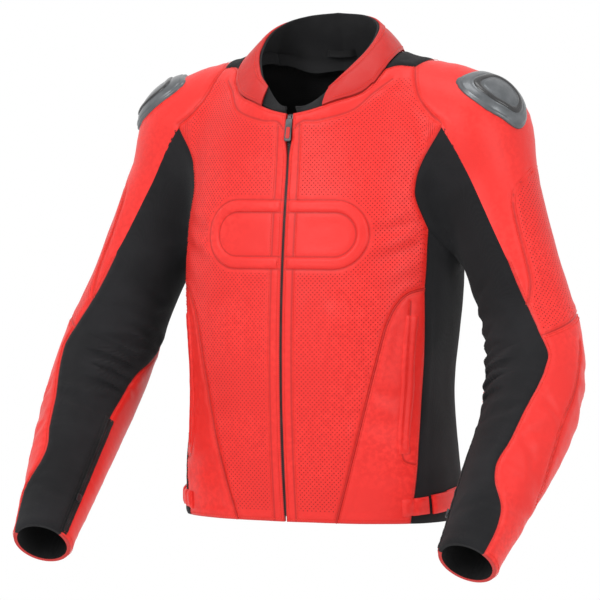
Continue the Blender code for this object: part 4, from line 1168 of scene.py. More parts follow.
# ---------------------------------------------------------------- sleeves
def sleeve_head(s, rows=27):
    """Rows from the armhole to the first full ring of the sleeve, and the columns' angles."""
    front_end, rear_end = FRONT_EDGE[0, 1], REAR_EDGE[0, 1]
    parts = (
        (s["armhole_front"][::-1], front_end, 124), (s["armpit_front"], 124, 180),
        (s["armpit_rear"], 180, 236), (s["armhole_rear"], 236, rear_end),
        (s["raglan_rear"], rear_end, 330), (s["yoke_outer"][::-1], 330, 392),
        (s["raglan_front"][::-1], 392, front_end + 360),
    )
    start = chain(*[curve for curve, _, _ in parts])[:-1]
    angles = []
    for curve, low, high in parts:
        angles += list(np.linspace(low, high, len(curve))[:-1])
    angles = np.array(angles)
    rear = sum(len(s[key]) for key in ("armhole_front", "armpit_front", "armpit_rear", "armhole_rear")) - 4
    columns = len(angles)
    ring = on_sleeve(ARM_TOP, angles)
    first = np.array([0.165, 0.015, -0.130])
    bend = np.array([0.235, 0.018, -0.140])
    last = arm_frame(ARM_TOP)[0]
    go = unit(start - first)
    end = unit(ring - last)
    column = np.arange(columns)
    beyond = np.minimum(np.maximum(column - rear, 0), columns - column)
    straight = smooth_step(beyond, 11.0, 0.0)
    grid = [start]
    for t in np.linspace(0, 1, rows)[1:-1]:
        centre = (1 - t) ** 2 * first + 2 * (1 - t) * t * bend + t * t * last
        way = go * (1 - t) + end * t
        way = unit(way)
        marched = march(np.tile(centre, (columns, 1)), way, inside=True)
        chord = start * (1 - t) + ring * t
        grid.append(settle(chord * straight[:, None] + marched * (1 - straight[:, None])))
    grid.append(ring)
    return np.array(grid), rear, angles


def share_angles(share, s, black):
    """The angle of a column, given as its share of the way across the black or the red part."""
    front, rear = edge_angle(FRONT_EDGE, s), edge_angle(REAR_EDGE, s)
    if black:
        return front + share * (rear - front)
    return rear + share * (front + 360 - rear)


def tear_stations(share, black):
    s = np.full(len(share), 0.28)
    for _ in range(40):
        s = 0.5 * s + 0.5 * cross_station(share_angles(share, s, black))
    return s


def bone_point(s, flip):
    return Vector((flip(arm_frame(s)[0]) - HANG_POINT).tolist())


def hang_upper(obj, label, flip):
    low, high = SHOULDER_TURN
    bone_point(low, flip)
    bone_point(high, flip)
    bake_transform(obj)


def hang_lower(obj, label, flip):
    low, high = ELBOW_TURN
    bone_point(low, flip)
    bone_point(high, flip)
    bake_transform(obj)


def patch_margin(points):
    """Positive inside the punched patch of the upper sleeve."""
    station, angle = sleeve_place(points)
    top = np.interp(angle, PATCH_BACK[::-1, 1], PATCH_BACK[::-1, 0])
    front = np.where(station > 0.256, 90.0, np.interp(station, PATCH_EDGE[:, 0], PATCH_EDGE[:, 1]))
    inside = (station > np.where(angle < 5, top, 0.076)) & (angle < front)
    return np.where(inside, 0.02, -0.02)


def band_grid(share, black, start, end, rows):
    t = np.linspace(0, 1, rows)[:, None]
    s = start * (1 - t) + end * t
    return on_sleeve(s, share_angles(share, s, black))


def sleeve_parts():
    """Grids of the left sleeve: (black, red), each (upper, lower)."""
    head, rear, angles = sleeve_head(SEAMS)
    out = []
    for black in (True, False):
        if black:
            top, run = head[:, : rear + 1], angles[: rear + 1]
        else:
            top = np.concatenate([head[:, rear:], head[:, :1]], axis=1)
            run = np.append(angles[rear:], angles[0] + 360)
        share = (run - run[0]) / (run[-1] - run[0])
        tear = tear_stations(share, black)
        middle = band_grid(share, black, np.full(len(share), ARM_TOP), tear, 38)
        upper = np.concatenate([top, middle[1:]])
        lower = band_grid(share, black, tear, np.full(len(share), ARM_LENGTH), 132)
        out.append((upper, lower))
    return out


def make_sleeves():
    parts = sleeve_parts()
    names = (
        (("underarm_stretch", "shoulder_flex", "upper_sleeve_stretch"), ("forearm_stretch",)),
        (("shoulder_panel", "upper_sleeve_outer"), ("elbow_flex", "forearm_outer")),
    )
    for label, flip in SIDES:
        for (upper, lower), (upper_nodes, lower_nodes), black in zip(parts, names, (True, False)):
            for grid, nodes, hang in ((upper, upper_nodes, hang_upper), (lower, lower_nodes, hang_lower)):
                rows, columns = grid.shape[:2]
                points = grid.reshape(-1, 3)
                uv = None if black else sleeve_uv(points)
                punched = patch_margin(points) if grid is upper and not black else None
                mat = MATS["stretch"] if black else MATS["red" if punched is None else "punched"]
                name = nodes[0] + "_" + label + "_skin"
                obj = lay(name, flip(points), grid_faces(rows, columns), mat, uv, punched)
                hang(obj, label, flip)
                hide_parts(*[n + "_" + label for n in nodes])
    return parts


# ---------------------------------------------------------------- linings
def lining_depth(points):
    """How far inside the form the torso's lining runs."""
    low = smooth_step(points[:, 2] - HEM_Z, 0.002, 0.045)
    neck = np.vstack([NECK_RING, mirrored(NECK_RING)])[::3]
    gap = np.linalg.norm(points[:, None] - neck[None], axis=-1).min(axis=1)
    middle = np.where(points[:, 1] < 0, smooth_step(np.abs(points[:, 0]), 0.010, 0.050), 1.0)
    return 0.0052 + 0.0085 * low * smooth_step(gap, 0.004, 0.050) * middle


def join_parts(parts):
    points, faces, total = [], [], 0
    for p, f in parts:
        points.append(p)
        faces.append(np.asarray(f) + total)
        total += len(p)
    return np.vstack(points), np.vstack(faces)


def triangles(quads):
    quads = np.asarray(quads)
    return np.vstack([quads[:, [0, 1, 2]], quads[:, [0, 2, 3]]])


def make_linings(parts):
    shells = []
    for name, (outline, view, form, _) in torso_outlines(SEAMS).items():
        points, faces = fill_outline(outline, view, form, LINING_FILL)
        up = normals(points)
        faces = turned_out(points, faces, up)
        paired = name in ("front_panel", "lower_front", "side_stretch", "yoke_stretch")
        for _, flip in SIDES if paired else (("", same),):
            placed, normal = flip(points), flip(up)
            turned = faces[:, ::-1] if flip is mirrored else faces
            shells.append((placed - normal * lining_depth(placed)[:, None], turned[:, ::-1]))
    points, faces = join_parts(shells)
    lining = mesh_object("torso_lining", points, faces, MATS["lining"])
    belongs(lining, "shell", "lining", "body_lining")
    for label, flip in SIDES:
        for row, hang, name in ((0, hang_upper, "upper"), (1, hang_lower, "lower")):
            shells = []
            for part in parts:
                rows = np.concatenate([part[row][:: 2 + 2 * row], part[row][-1:]])
                grid = np.concatenate([rows[:, ::2], rows[:, -1:]], axis=1)
                p = grid.reshape(-1, 3)
                up = normals(p)
                f = turned_out(p, triangles(grid_faces(*grid.shape[:2])), up)
                if row == 0:
                    depth = lining_depth(p)
                else:
                    station, _ = sleeve_place(p)
                    depth = 0.0137 - 0.0095 * smooth_step(station, 0.52, 0.62)
                placed = flip(p - up * depth[:, None])
                shells.append((placed, f if flip is mirrored else f[:, ::-1]))
            points, faces = join_parts(shells)
            obj = mesh_object(name + "_sleeve_lining_" + label, points, faces, MATS["lining"])
            hang(obj, label, flip)


# ---------------------------------------------------------------- stitches
STITCH_PITCH = 0.0038
STITCH_LONG = 0.0029
STITCH_R = 0.00036


def beside(curve, away, towards=None, form=body_form):
    """A line beside a seam, at a distance, on the side where towards lies."""
    dense = spline(curve, 0.0012)
    up = normals(dense, form)
    way = np.gradient(dense, axis=0)
    way = unit(way)
    side = np.cross(up, way)
    if towards is not None:
        m = len(dense) // 2
        if (np.array(towards) - dense[m]) @ side[m] < 0:
            side = -side
    return settle(dense + side * away, form, 3)


def threads(seat, way, side, up, rises):
    """One short thick thread at each seat, thin at its ends. rises are its four rings' heights."""
    rings = []
    for shift, width, rise in zip((-0.5, -0.32, 0.32, 0.5), (0.35, 1.0, 1.0, 0.35), rises):
        centre = seat + way * (shift * STITCH_LONG) + up * rise
        for a in np.arange(5) * 2 * math.pi / 5:
            rings.append(centre + (side * math.cos(a) + up * math.sin(a)) * (STITCH_R * width))
    count = len(seat)
    points = np.array(rings).reshape(4, 5, count, 3).transpose(2, 0, 1, 3).reshape(-1, 3)
    faces = grid_faces(4, 5, closed=True)[None] + (np.arange(count) * 20)[:, None, None]
    return points, faces.reshape(-1, 4)


def stitch_mesh(paths, lift=0.00042):
    """Short raised threads along lines on the form."""
    parts = []
    for path in paths:
        run = np.concatenate([[0], np.cumsum(np.linalg.norm(np.diff(path, axis=0), axis=1))])
        count = int(run[-1] / STITCH_PITCH)
        if count < 2:
            continue
        at = (np.arange(count) + 0.5) * run[-1] / count
        seat = np.stack([np.interp(at, run, path[:, k]) for k in range(3)], -1)
        ahead = np.stack([np.interp(at + 0.001, run, path[:, k]) for k in range(3)], -1)
        behind = np.stack([np.interp(at - 0.001, run, path[:, k]) for k in range(3)], -1)
        way = ahead - behind
        way = unit(way)
        up = normals(seat)
        height, _ = relief(seat)
        seat = seat + up * (height + LIFT + lift)[:, None]
        side = np.cross(up, way)
        side = unit(side)
        parts.append(threads(seat, way, side, up, (-0.0002, 0.0001, 0.0001, -0.0002)))
    return join_parts(parts)


def sew(name, paths, flip, hang, mat="thread"):
    points, faces = stitch_mesh([flip(path) for path in paths])
    obj = mesh_object(name, points, faces, MATS[mat])
    hang(obj)
    return obj


def make_stitches():
    s = SEAMS
    front = (0.080, -0.130, -0.300)
    low = (0.150, -0.100, -0.500)
    back = (0.060, 0.120, -0.250)
    torso_rows = [
        beside(s["princess"], 0.0030, front), beside(s["princess"], 0.0030, low),
        beside(s["side_low"], 0.0030, low), beside(s["side_high"], 0.0030, front),
        beside(s["armhole_front"], 0.0030, front), beside(s["raglan_front"], 0.0030, front),
        beside(s["yoke_front"], 0.0030, front), beside(s["neck_front"], 0.0030, front),
        beside(MARKS["neck_strip"], 0.0026, front),
        beside(s["zip"], 0.0040, front), beside(MARKS["placket"], 0.0026, front),
        beside(s["hem_front"], 0.0040, front), beside(s["hem_lower"], 0.0040, low),
        beside(s["back_high"], 0.0030, back), beside(s["armhole_rear"], 0.0030, back),
        beside(s["raglan_rear"], 0.0030, back), beside(s["yoke_rear"], 0.0030, back),
        beside(s["neck_back"], 0.0030, back), beside(s["waist_high"], 0.0030, back),
        beside(s["hem_back"], 0.0040, (0.0, 0.12, -0.5)), beside(s["waist_low"], 0.0030, (0.0, 0.12, -0.56)),
        beside(MARKS["protector_left"], 0.0024, (0.0, 0.12, -0.25)),
        beside(MARKS["back_yoke"], 0.0026, (0.0, 0.12, -0.05)),
        beside(MARKS["welt"], 0.0026, low),
    ]
    outer = (0.30, 0.02, -0.15)
    head_rows = [
        beside(s["raglan_front"], 0.0028, outer), beside(s["raglan_rear"], 0.0028, outer),
        beside(s["yoke_outer"], 0.0028, outer),
        beside(MARKS["patch_front"], 0.0026, (0.26, -0.08, -0.20)),
        beside(MARKS["patch_front"], 0.0026, (0.33, 0.05, -0.20)),
        beside(MARKS["patch_top"], 0.0026, (0.24, 0.03, -0.05)),
        beside(MARKS["patch_top"], 0.0026, (0.33, 0.05, -0.25)),
    ]
    stations = np.linspace(ARM_TOP + 0.002, 0.270, 40)
    head_rows.append(on_sleeve(stations, edge_angle(FRONT_EDGE, stations) - 3.0))
    head_rows.append(on_sleeve(stations, edge_angle(REAR_EDGE, stations) + 3.0))
    angles = np.linspace(-130, 58, 90)
    head_rows.append(on_sleeve(cross_station(angles) - 0.0028, angles))
    stations = np.linspace(0.306, ARM_LENGTH - 0.006, 150)
    low_rows = [
        on_sleeve(stations, edge_angle(FRONT_EDGE, stations) - 3.0),
        on_sleeve(stations, edge_angle(REAR_EDGE, stations) + 3.0),
        on_sleeve(cross_station(angles) + 0.0028, angles),
        on_sleeve(cross_station(angles) + 0.0060, angles),
        beside(MARKS["forearm"], 0.0026, (0.36, -0.25, -0.45)),
        beside(MARKS["forearm"], 0.0026, (0.36, 0.05, -0.45)),
    ]
    ring = np.linspace(-205, 36, 90)
    low_rows.append(on_sleeve(np.full(90, ARM_LENGTH - 0.0055), ring))
    for label, flip in SIDES:
        sew("torso_stitches_" + label, torso_rows, flip, lambda o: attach(o, "shell"))
        sew("upper_sleeve_stitches_" + label, head_rows, flip, lambda o: hang_upper(o, label, flip))
        sew("forearm_stitches_" + label, low_rows, flip, lambda o: hang_lower(o, label, flip))


def make_piping():
    """A thin leather cord sewn into the princess seam."""
    for label, flip in SIDES:
        line = flip(spline(SEAMS["princess"], 0.0025))
        up = normals(line)
        height, _ = relief(line)
        points, faces = cord_mesh(line + up * (height + 0.0009)[:, None], 0.0012, 8)
        cord = mesh_object("princess_piping_" + label, points, faces, MATS["red"])
        belongs(cord, "shell", "red_leather")


# ---------------------------------------------------------------- collar
COLLAR_RIM = (
    (0.044, -0.080, -0.040), (0.060, -0.070, -0.022), (0.075, -0.042, 0.003), (0.079, -0.008, 0.028),
    (0.068, 0.021, 0.044), (0.042, 0.038, 0.053), (0.0, 0.044, 0.057),
)
COLLAR_END_X = 0.041  # the red collar's front end, where only the knit lining goes on to the zip
COLLAR_HEART = np.array([0.0, -0.012, 0.0])


def whole(half):
    return np.concatenate([half, mirrored(half)[..., ::-1, :][..., 1:, :]], axis=-2)


def stretched_to(curve, count):
    """A curve's points spread again to a given number."""
    run = np.concatenate([[0], np.cumsum(np.linalg.norm(np.diff(curve, axis=0), axis=1))])
    at = np.linspace(0, run[-1], count)
    return np.stack([np.interp(at, run, curve[:, k]) for k in range(3)], -1)


def collar_lines():
    """The collar's base and rim on the left half, and where its red part starts."""
    base = NECK_RING[1:]
    base = base + normals(base) * 0.0004 + np.array([0, 0, 0.0010])
    first = int(np.argmax(base[:, 0] > COLLAR_END_X))
    rim = stretched_to(spline(COLLAR_RIM, 0.001), len(base) - first)
    return base, rim, first


def collar_normals(grid):
    along = np.gradient(grid, axis=1)
    rise = np.gradient(grid, axis=0)
    up = np.cross(along, rise)
    up /= np.maximum(np.linalg.norm(up, axis=-1, keepdims=True), 1e-9)
    outward = grid - COLLAR_HEART
    outward[..., 2] = 0
    return up * np.sign((up * outward).sum(-1, keepdims=True))


def rolled_wall(name, grid, up, outer, inner, mat):
    """A wall between two offsets of a surface, rounded over along its top."""
    columns = grid.shape[1]
    half = (outer - inner) / 2
    top = grid[-1] + up[-1] * ((outer + inner) / 2)
    rise = grid[-1] - grid[-2]
    rise = unit(rise)
    over = []
    for a in np.radians((30, 60, 90, 120, 150)):
        over.append(top + up[-1] * (half * math.cos(a)) + rise * (half * math.sin(a)))
    loop = np.concatenate([grid + up * outer, np.array(over), (grid + up * inner)[::-1]])
    count = loop.shape[0]
    points = loop.reshape(-1, 3)
    up_all = np.concatenate([up, np.repeat(rise[None], 5, axis=0), -up[::-1]]).reshape(-1, 3)
    faces = turned_out(points, grid_faces(count, columns), up_all)
    caps = []
    for column in (0, columns - 1):
        for r in range(count // 2):
            a, b = r * columns + column, (r + 1) * columns + column
            c, d = (count - 2 - r) * columns + column, (count - 1 - r) * columns + column
            caps.append([a, b, c, d] if column == 0 else [d, c, b, a])
    return mesh_object(name, points, np.vstack([faces, np.array(caps)]), mat, sharp=60)


def make_collar():
    base, rim, first = collar_lines()
    rows = 18
    t = np.linspace(0, 1, rows)[:, None]
    grid = whole(base[first:] + (rim - base[first:]) * t[..., None])
    columns = grid.shape[1]
    up = collar_normals(grid)
    flat_points = grid.reshape(-1, 3)
    bulge = 0.0016 * np.sin(t * math.pi) + 0.0007 * np.exp(-(((t - 0.90) / 0.07) ** 2))
    soft = np.array([noise.noise(Vector(p) * 24.0) for p in flat_points]).reshape(rows, columns)
    fine = np.array([noise.noise(Vector(p) * 70.0) for p in flat_points]).reshape(rows, columns)
    wavy = bulge + 0.0012 * soft + 0.0004 * fine - 0.0010 * np.exp(-((t / 0.07) ** 2))
    wavy = wavy - 0.0009 * np.exp(-(((t - 0.84) / 0.035) ** 2))
    shaped = grid + up * wavy[..., None]
    outer = rolled_wall("collar_skin", shaped, up, 0.0018, -0.0014, MATS["red"])
    belongs(outer, "shell", "red_leather", "collar_outer")
    make_collar_lining(base, rim, first)
    lines = [shaped[k] + up[k] * 0.0018 for k in (2, rows - 3)]
    points, faces = free_stitches([line[3:-3] for line in lines])
    thread = mesh_object("collar_stitches", points, faces, MATS["thread"])
    belongs(thread, "shell", "red_leather")


def make_collar_lining(base, rim, first):
    """The knit lining: a little higher than the red collar, and on to the zip as a low wing."""
    wing = np.linspace(0, 1, first + 1)[:-1, None]
    low_end = base[0] + np.array([0.0, 0.003, 0.004])
    top = low_end + (rim[0] - low_end) * np.hstack([wing, wing, wing**1.5])
    top = np.vstack([top, rim])
    outward = base - COLLAR_HEART
    outward[:, 2] = 0
    outward = unit(outward)
    foot = base - outward * 0.0040 - np.array([0, 0, 0.0005])
    deep = foot - outward * 0.0050 - np.array([0, 0, 0.0160])
    over = top - foot
    over = unit(over)
    middle = foot * 0.5 + top * 0.5 + outward * 0.0008
    rows = [deep, deep * 0.5 + foot * 0.5, foot]
    for share in np.linspace(0, 1, 12)[1:]:
        line = foot * (1 - share) + top * share
        rows.append(line + (middle - (foot + top) / 2) * (4 * share * (1 - share)))
    rows.append(top + over * 0.0016)
    grid = whole(np.array(rows))
    up = collar_normals(grid)
    flat_points = grid.reshape(-1, 3)
    soft = np.array([noise.noise(Vector(p) * 30.0) for p in flat_points]).reshape(grid.shape[:2])
    grid = grid + up * (0.0008 * soft)[..., None]
    inner = rolled_wall("collar_lining_skin", grid, up, -0.0012, -0.0042, MATS["knit"])
    belongs(inner, "shell", "lining", "collar_lining")
    band = whole((base + (top - base) * 0.55)[first:])
    inward = collar_normals(np.array([band, band + np.array([0, 0, 0.01])]))[0]
    points, faces = cord_mesh(band - inward * 0.0044, 0.0006)
    seam_line = mesh_object("collar_lining_seam", points, faces, MATS["knit"])
    belongs(seam_line, "shell", "lining")


def cord_mesh(path, radius, sides=6):
    """A thin round cord along a path."""
    way = np.gradient(path, axis=0)
    way = unit(way)
    across = np.cross(way, np.array([0.05, 0.1, 1.0]))
    across = unit(across)
    third = np.cross(way, across)
    rings = []
    for a in np.arange(sides) * 2 * math.pi / sides:
        rings.append(path + (across * math.cos(a) + third * math.sin(a)) * radius)
    points = np.array(rings).transpose(1, 0, 2).reshape(-1, 3)
    return points, grid_faces(len(path), sides, closed=True)


def free_stitches(lines):
    """Stitches along lines that already lie on their surface, facing away from the neck."""
    parts = []
    for line in lines:
        run = np.concatenate([[0], np.cumsum(np.linalg.norm(np.diff(line, axis=0), axis=1))])
        count = int(run[-1] / STITCH_PITCH)
        at = (np.arange(count) + 0.5) * run[-1] / count
        seat = np.stack([np.interp(at, run, line[:, k]) for k in range(3)], -1)
        ahead = np.stack([np.interp(at + 0.001, run, line[:, k]) for k in range(3)], -1)
        way = ahead - seat
        way = unit(way)
        out = seat - np.array([0.0, -0.01, 0.0])
        out[:, 2] *= 0.4
        out -= (out * way).sum(1, keepdims=True) * way
        out = unit(out)
        side = np.cross(out, way)
        parts.append(threads(seat, way, side, out, (0.0001,) * 4))
    return join_parts(parts)


# ---------------------------------------------------------------- shoulder cups
CUP_CENTRE = (0.242, 0.0, -0.052)
CUP_LONG = 0.056
CUP_SHORT = 0.043


def cup_outline(degrees):
    """How far the cup's rim reaches, over a plain ellipse: fuller in front inside, less outside."""
    turn = degrees % 360
    inner_front = 0.34 * np.exp(-(((turn - 224) / 30) ** 2))
    inner_back = 0.16 * np.exp(-(((turn - 140) / 34) ** 2))
    outer_front = -0.13 * np.exp(-(((turn - 312) / 26) ** 2))
    return 1 + inner_front + inner_back + outer_front


def cup_points(radius, degrees):
    radius = radius * cup_outline(degrees)
    centre = settle(np.array([CUP_CENTRE]))[0]
    up = normals(centre[None])[0]
    across = np.cross(up, (0.0, -1.0, 0.0))
    across /= np.linalg.norm(across)
    forward = np.cross(up, across)
    a = np.radians(degrees)
    long = CUP_LONG * (1 + 0.10 * np.cos(a))
    raw = centre + radius[..., None] * (
        (long * np.cos(a))[..., None] * across + (CUP_SHORT * np.sin(a))[..., None] * forward
    )
    return settle(raw)


def cup_profile(r, degrees):
    """Height of the cup's outer face over the sleeve."""
    dome = 0.0020 + 0.0046 * (1 - np.clip(r, 0, 1) ** 4)
    rim = -0.0042 * smooth_step(r, 0.955, 1.0)
    step = 0.0007 * smooth_step(r, 0.88, 0.86)
    groove = -0.0007 * np.exp(-(((r - 0.395) / 0.018) ** 2)) - 0.0007 * np.exp(-(((r - 0.625) / 0.018) ** 2))
    turn = (degrees + 180) % 360 - 180
    crease_line = np.exp(-(((r * np.cos(np.radians(turn)) - 0.66) / 0.035) ** 2))
    return dome + rim + step + groove - 0.0006 * crease_line * smooth_step(r, 0.95, 0.8)


def polar(name, radii, degrees, height, mat, flip, centre=True):
    grid = cup_points(radii[:, None] + 0 * degrees[None], degrees[None] + 0 * radii[:, None])
    tall = height(radii[:, None] + 0 * degrees[None], degrees[None] + 0 * radii[:, None])
    points = grid.reshape(-1, 3)
    up = normals(points)
    n = len(degrees)
    faces = grid_faces(len(radii), n, closed=True)
    surface = points + up * tall.reshape(-1, 1)
    if centre:
        hub = surface[:n].mean(axis=0)
        surface = np.vstack([surface, hub])
        up = np.vstack([up, up[0]])
        tri = np.array([[len(points), i, (i + 1) % n, (i + 1) % n] for i in range(n)])
        faces = np.vstack([faces, tri])
    faces = turned_out(surface, faces, up)
    if flip is mirrored:
        faces = faces[:, ::-1]
    lists = [list(dict.fromkeys(f.tolist())) for f in faces]
    return mesh_object(name, flip(surface), lists, mat, sharp=45)


RING_BAND = (0.43, 0.59)  # the inlay's inner and outer edge, as parts of the cup's radius
CUP_LIP = (0.875, 0.89, 0.92, 0.95, 0.97, 0.985, 0.996, 1.004)  # closer rings at the cup's edge


def ring_height(r, _):
    """How high the inlay stands: rounded across, over a quarter of the cup's height."""
    across = np.clip((r - RING_BAND[0]) / (RING_BAND[1] - RING_BAND[0]), 0, 1)
    under = cup_profile(np.full_like(r, 0.5), 0 * r) * 0.25
    return under + 0.0052 + 0.0016 * np.sin(across * math.pi) ** 0.5


def make_cups():
    degrees = np.arange(0, 360, 3.0)
    radii = np.concatenate([np.linspace(0.04, 0.86, 34), CUP_LIP])
    for label, flip in SIDES:
        cup = polar("shoulder_cup_skin_" + label, radii, degrees, cup_profile, MATS["cup"], flip)
        belongs(cup, "shell", "shoulder_cup", "shoulder_cup_" + label)
        band = np.linspace(*RING_BAND, 11)
        inlay = polar(
            "cup_inlay_skin_" + label, band, degrees, ring_height, MATS["inlay"], flip, centre=False
        )
        belongs(inlay, "shell", "cup_inlay", "cup_inlay_" + label)


# ---------------------------------------------------------------- bands sewn on
BAND_SKIRT = 0.0028  # how far a raised band's edge runs down under it
BAND_ENDS = 0.004  # how far from its ends a band reaches its full height


def raised_band(name, lines, heights, mat, flip, hold, extra=0.0, form=body_form):
    """A soft raised strip: lines are its columns, as a grid on the form, heights one for each column.

    hold is its body, its slot and the node that it stands for.
    """
    rows, columns = lines.shape[:2]
    points = lines.reshape(-1, 3)
    up = normals(points, form)
    placed, normal = flip(points), flip(up)
    base, _ = relief(placed)
    run = np.concatenate([[0], np.cumsum(np.linalg.norm(np.diff(lines[:, columns // 2], axis=0), axis=1))])
    fade = smooth_step(np.minimum(run, run[-1] - run), 0.0, BAND_ENDS)
    tall = (heights[None, :] * (0.25 + 0.75 * fade[:, None])).reshape(-1)
    surface = placed + normal * (base + LIFT + extra + tall)[:, None]
    faces = turned_out(surface, grid_faces(rows, columns), normal)
    surface, faces, _ = with_skirt(surface, faces, normal, BAND_SKIRT)
    # A seam distance far from any seam, so that the leather's painted groove shade stays off the band.
    distance = np.full(len(surface), 0.01)
    belongs(mesh_object(name, surface, faces, mat, values={"seam": distance}), *hold)


def flat_band(path, width, columns, view="front"):
    way = np.gradient(path, axis=0)
    way = unit(way)
    side = np.stack([-way[:, 1], way[:, 0]], -1)
    across = np.linspace(-0.5, 0.5, columns) * width
    raw = path[:, None, :] + side[:, None, :] * across[None, :, None]
    return settle(seen(raw.reshape(-1, 2), view)).reshape(len(path), columns, 3)


def rounded(columns, height):
    x = np.linspace(-1, 1, columns)
    return height * (1 - np.abs(x) ** 5)


WELT_PATH = [(0.158, -0.330), (0.153, -0.380), (0.151, -0.430), (0.149, -0.480), (0.150, -0.505)]


def make_bands():
    loop = spline(chest_loop(0.0)[1:-1], 0.003)
    chest = flat_band(loop, 0.0150, 11)
    welt = flat_band(spline(WELT_PATH, 0.003), 0.0110, 9)
    for label, flip in SIDES:
        for node, lines, height in (("chest_band_", chest, 0.0017), ("pocket_welt_", welt, 0.0024)):
            heights = rounded(lines.shape[1], height)
            hold = ("shell", "red_leather", node + label)
            raised_band(node + "skin_" + label, lines, heights, MATS["red"], flip, hold)
    make_straps()


STRAP_Z = (-0.556, -0.574)
TAB_FOLD = 73.0


def strap_lines(start, end, rows, width, columns=9):
    degrees = np.linspace(start, end, rows)
    z = np.interp(degrees, (60, 130), (STRAP_Z[1], STRAP_Z[0]))
    heights = np.linspace(-0.5, 0.5, columns) * width
    return around(degrees[:, None] + 0 * heights[None], z[:, None] + heights[None])


def make_straps():
    for label, flip in SIDES:
        pieces = (
            ("waist_strap", 84, 132, 60, 0.026, 0.0032, "shell", 0.0006),
            ("strap_anchor", 60, 72, 18, 0.022, 0.0028, "shell", 0.0006),
            ("strap_tab", TAB_FOLD + 0.5, 96, 34, 0.024, 0.0030, "tab_" + label, 0.0026),
        )
        for name, start, end, rows, width, tall, body, extra in pieces:
            lines = strap_lines(start, end, rows, width)
            hold = (body, "red_leather", name + "_" + label)
            heights = rounded(9, tall)
            skin = name + "_skin_" + label
            raised_band(skin, lines, heights, MATS["red"], flip, hold, extra, torso_form)


# ---------------------------------------------------------------- zips
def blocks(name, centres, ways, ups, sizes, mat):
    """Small chamfered blocks. sizes are along the way, across, and up."""
    sides = np.cross(ups, ways)
    corners = []
    for z, shrink in ((-0.5, 1.0), (0.25, 1.0), (0.5, 0.72)):
        for x, y in ((-0.5, -0.5), (0.5, -0.5), (0.5, 0.5), (-0.5, 0.5)):
            corners.append((x * shrink, y * shrink, z))
    faces = [(3, 2, 1, 0), (8, 9, 10, 11)]
    for level in (0, 4):
        faces += [(level + i, level + (i + 1) % 4, level + 4 + (i + 1) % 4, level + 4 + i) for i in range(4)]
    points, all_faces = [], []
    for i, (c, w, u, s) in enumerate(zip(centres, ways, ups, sides)):
        for x, y, z in corners:
            points.append(c + w * (x * sizes[0]) + s * (y * sizes[1]) + u * (z * sizes[2]))
        all_faces += [[k + i * 12 for k in f] for f in faces]
    return mesh_object(name, np.array(points), all_faces, mat, sharp=30)


def front_line(z):
    """A point on the front's centre line, and the outward way there."""
    at = np.stack([0 * z, front_y(z), z], -1)
    centre = np.array([0.0, FRONT_ARC_Y + FRONT_ARC_R, FRONT_ARC_Z])
    out = at - centre
    return at, unit(out)


def make_front_zip():
    z = np.linspace(HEM_Z + 0.004, ZIP_TOP_Z - 0.001, 180)
    at, out = front_line(z)
    for label, flip in SIDES:
        columns = []
        for x, depth in ((0.0012, -0.0028), (0.0060, -0.0030), (0.0145, -0.0034)):
            columns.append(at + out * depth + np.array([x, 0, 0]))
        grid = np.stack(columns, 1)
        points = grid.reshape(-1, 3)
        normal = np.repeat(out, 3, axis=0)
        faces = turned_out(points, grid_faces(180, 3), normal)
        points, faces, _ = with_skirt(points, faces, normal, 0.0009)
        if flip is mirrored:
            faces = faces[:, ::-1]
        tape = mesh_object("front_zip_tape_" + label, flip(points), faces, MATS["tape"])
        belongs(tape, "shell", "zip_tape", "front_zip_" + label)
        pitch = 0.0027
        shift = 0.0 if label == "left" else pitch / 2
        tooth_z = np.arange(HEM_Z + 0.008 + shift, ZIP_TOP_Z - 0.006, pitch)
        seat, up = front_line(tooth_z)
        seat = flip(seat + up * -0.0016 + np.array([0.0013, 0, 0]))
        way = np.cross(up, np.array([1.0, 0, 0]))
        teeth = blocks("front_zip_teeth_" + label, seat, way, up, (0.0014, 0.0036, 0.0022), MATS["teeth"])
        belongs(teeth, "shell", "zip_tape")


def shaped_plate(name, outline, thick, bevel, mat, matrix):
    """A plate with a bevelled face: its outline in X and Z, its face towards -Y."""
    outline = np.array(outline, float)
    centre = outline.mean(axis=0)
    inner = centre + (outline - centre) * (1 - bevel / np.abs(outline - centre).max())
    layers = ((outline, 0.0), (outline, -thick + bevel * 0.6), (inner, -thick))
    n = len(outline)
    points = [matrix @ Vector((x, y, z)) for ring, y in layers for x, z in ring]
    faces = [list(range(n)), list(range(3 * n - 1, 2 * n - 1, -1))]
    for level in range(2):
        for i in range(n):
            k = (i + 1) % n
            a, b = level * n, level * n + n
            faces.append([a + i, b + i, b + k, a + k])
    mesh = bpy.data.meshes.new(name)
    mesh.from_pydata(points, [], faces)
    mesh.materials.append(mat)
    mesh.shade_smooth()
    mesh.set_sharp_from_angle(angle=math.radians(30))
    obj = bpy.data.objects.new(name, mesh)
    bpy.context.scene.collection.objects.link(obj)
    return obj


def rounded_outline(length, width, corner, taper=0.0, steps=5):
    points = []
    for quarter, (sx, sz) in enumerate(((1, 1), (-1, 1), (-1, -1), (1, -1))):
        for step in range(steps):
            a = math.radians(quarter * 90 + step * 90 / (steps - 1))
            z = sz * (length / 2 - corner) + corner * math.sin(a)
            narrow = 1 - taper * (0.5 - z / length)
            points.append(((sx * (width / 2 - corner) + corner * math.cos(a)) * narrow, z))
    return points


def turned_to(at, facing, down):
    y_axis = -Vector(facing).normalized()
    x_axis = y_axis.cross(-Vector(down)).normalized()
    z_axis = x_axis.cross(y_axis)
    turned = Matrix((x_axis, y_axis, z_axis)).transposed().to_4x4()
    return Matrix.Translation(Vector(at) - Vector(HANG_POINT)) @ turned


SLIDER_Z = ZIP_TOP_Z - 0.008


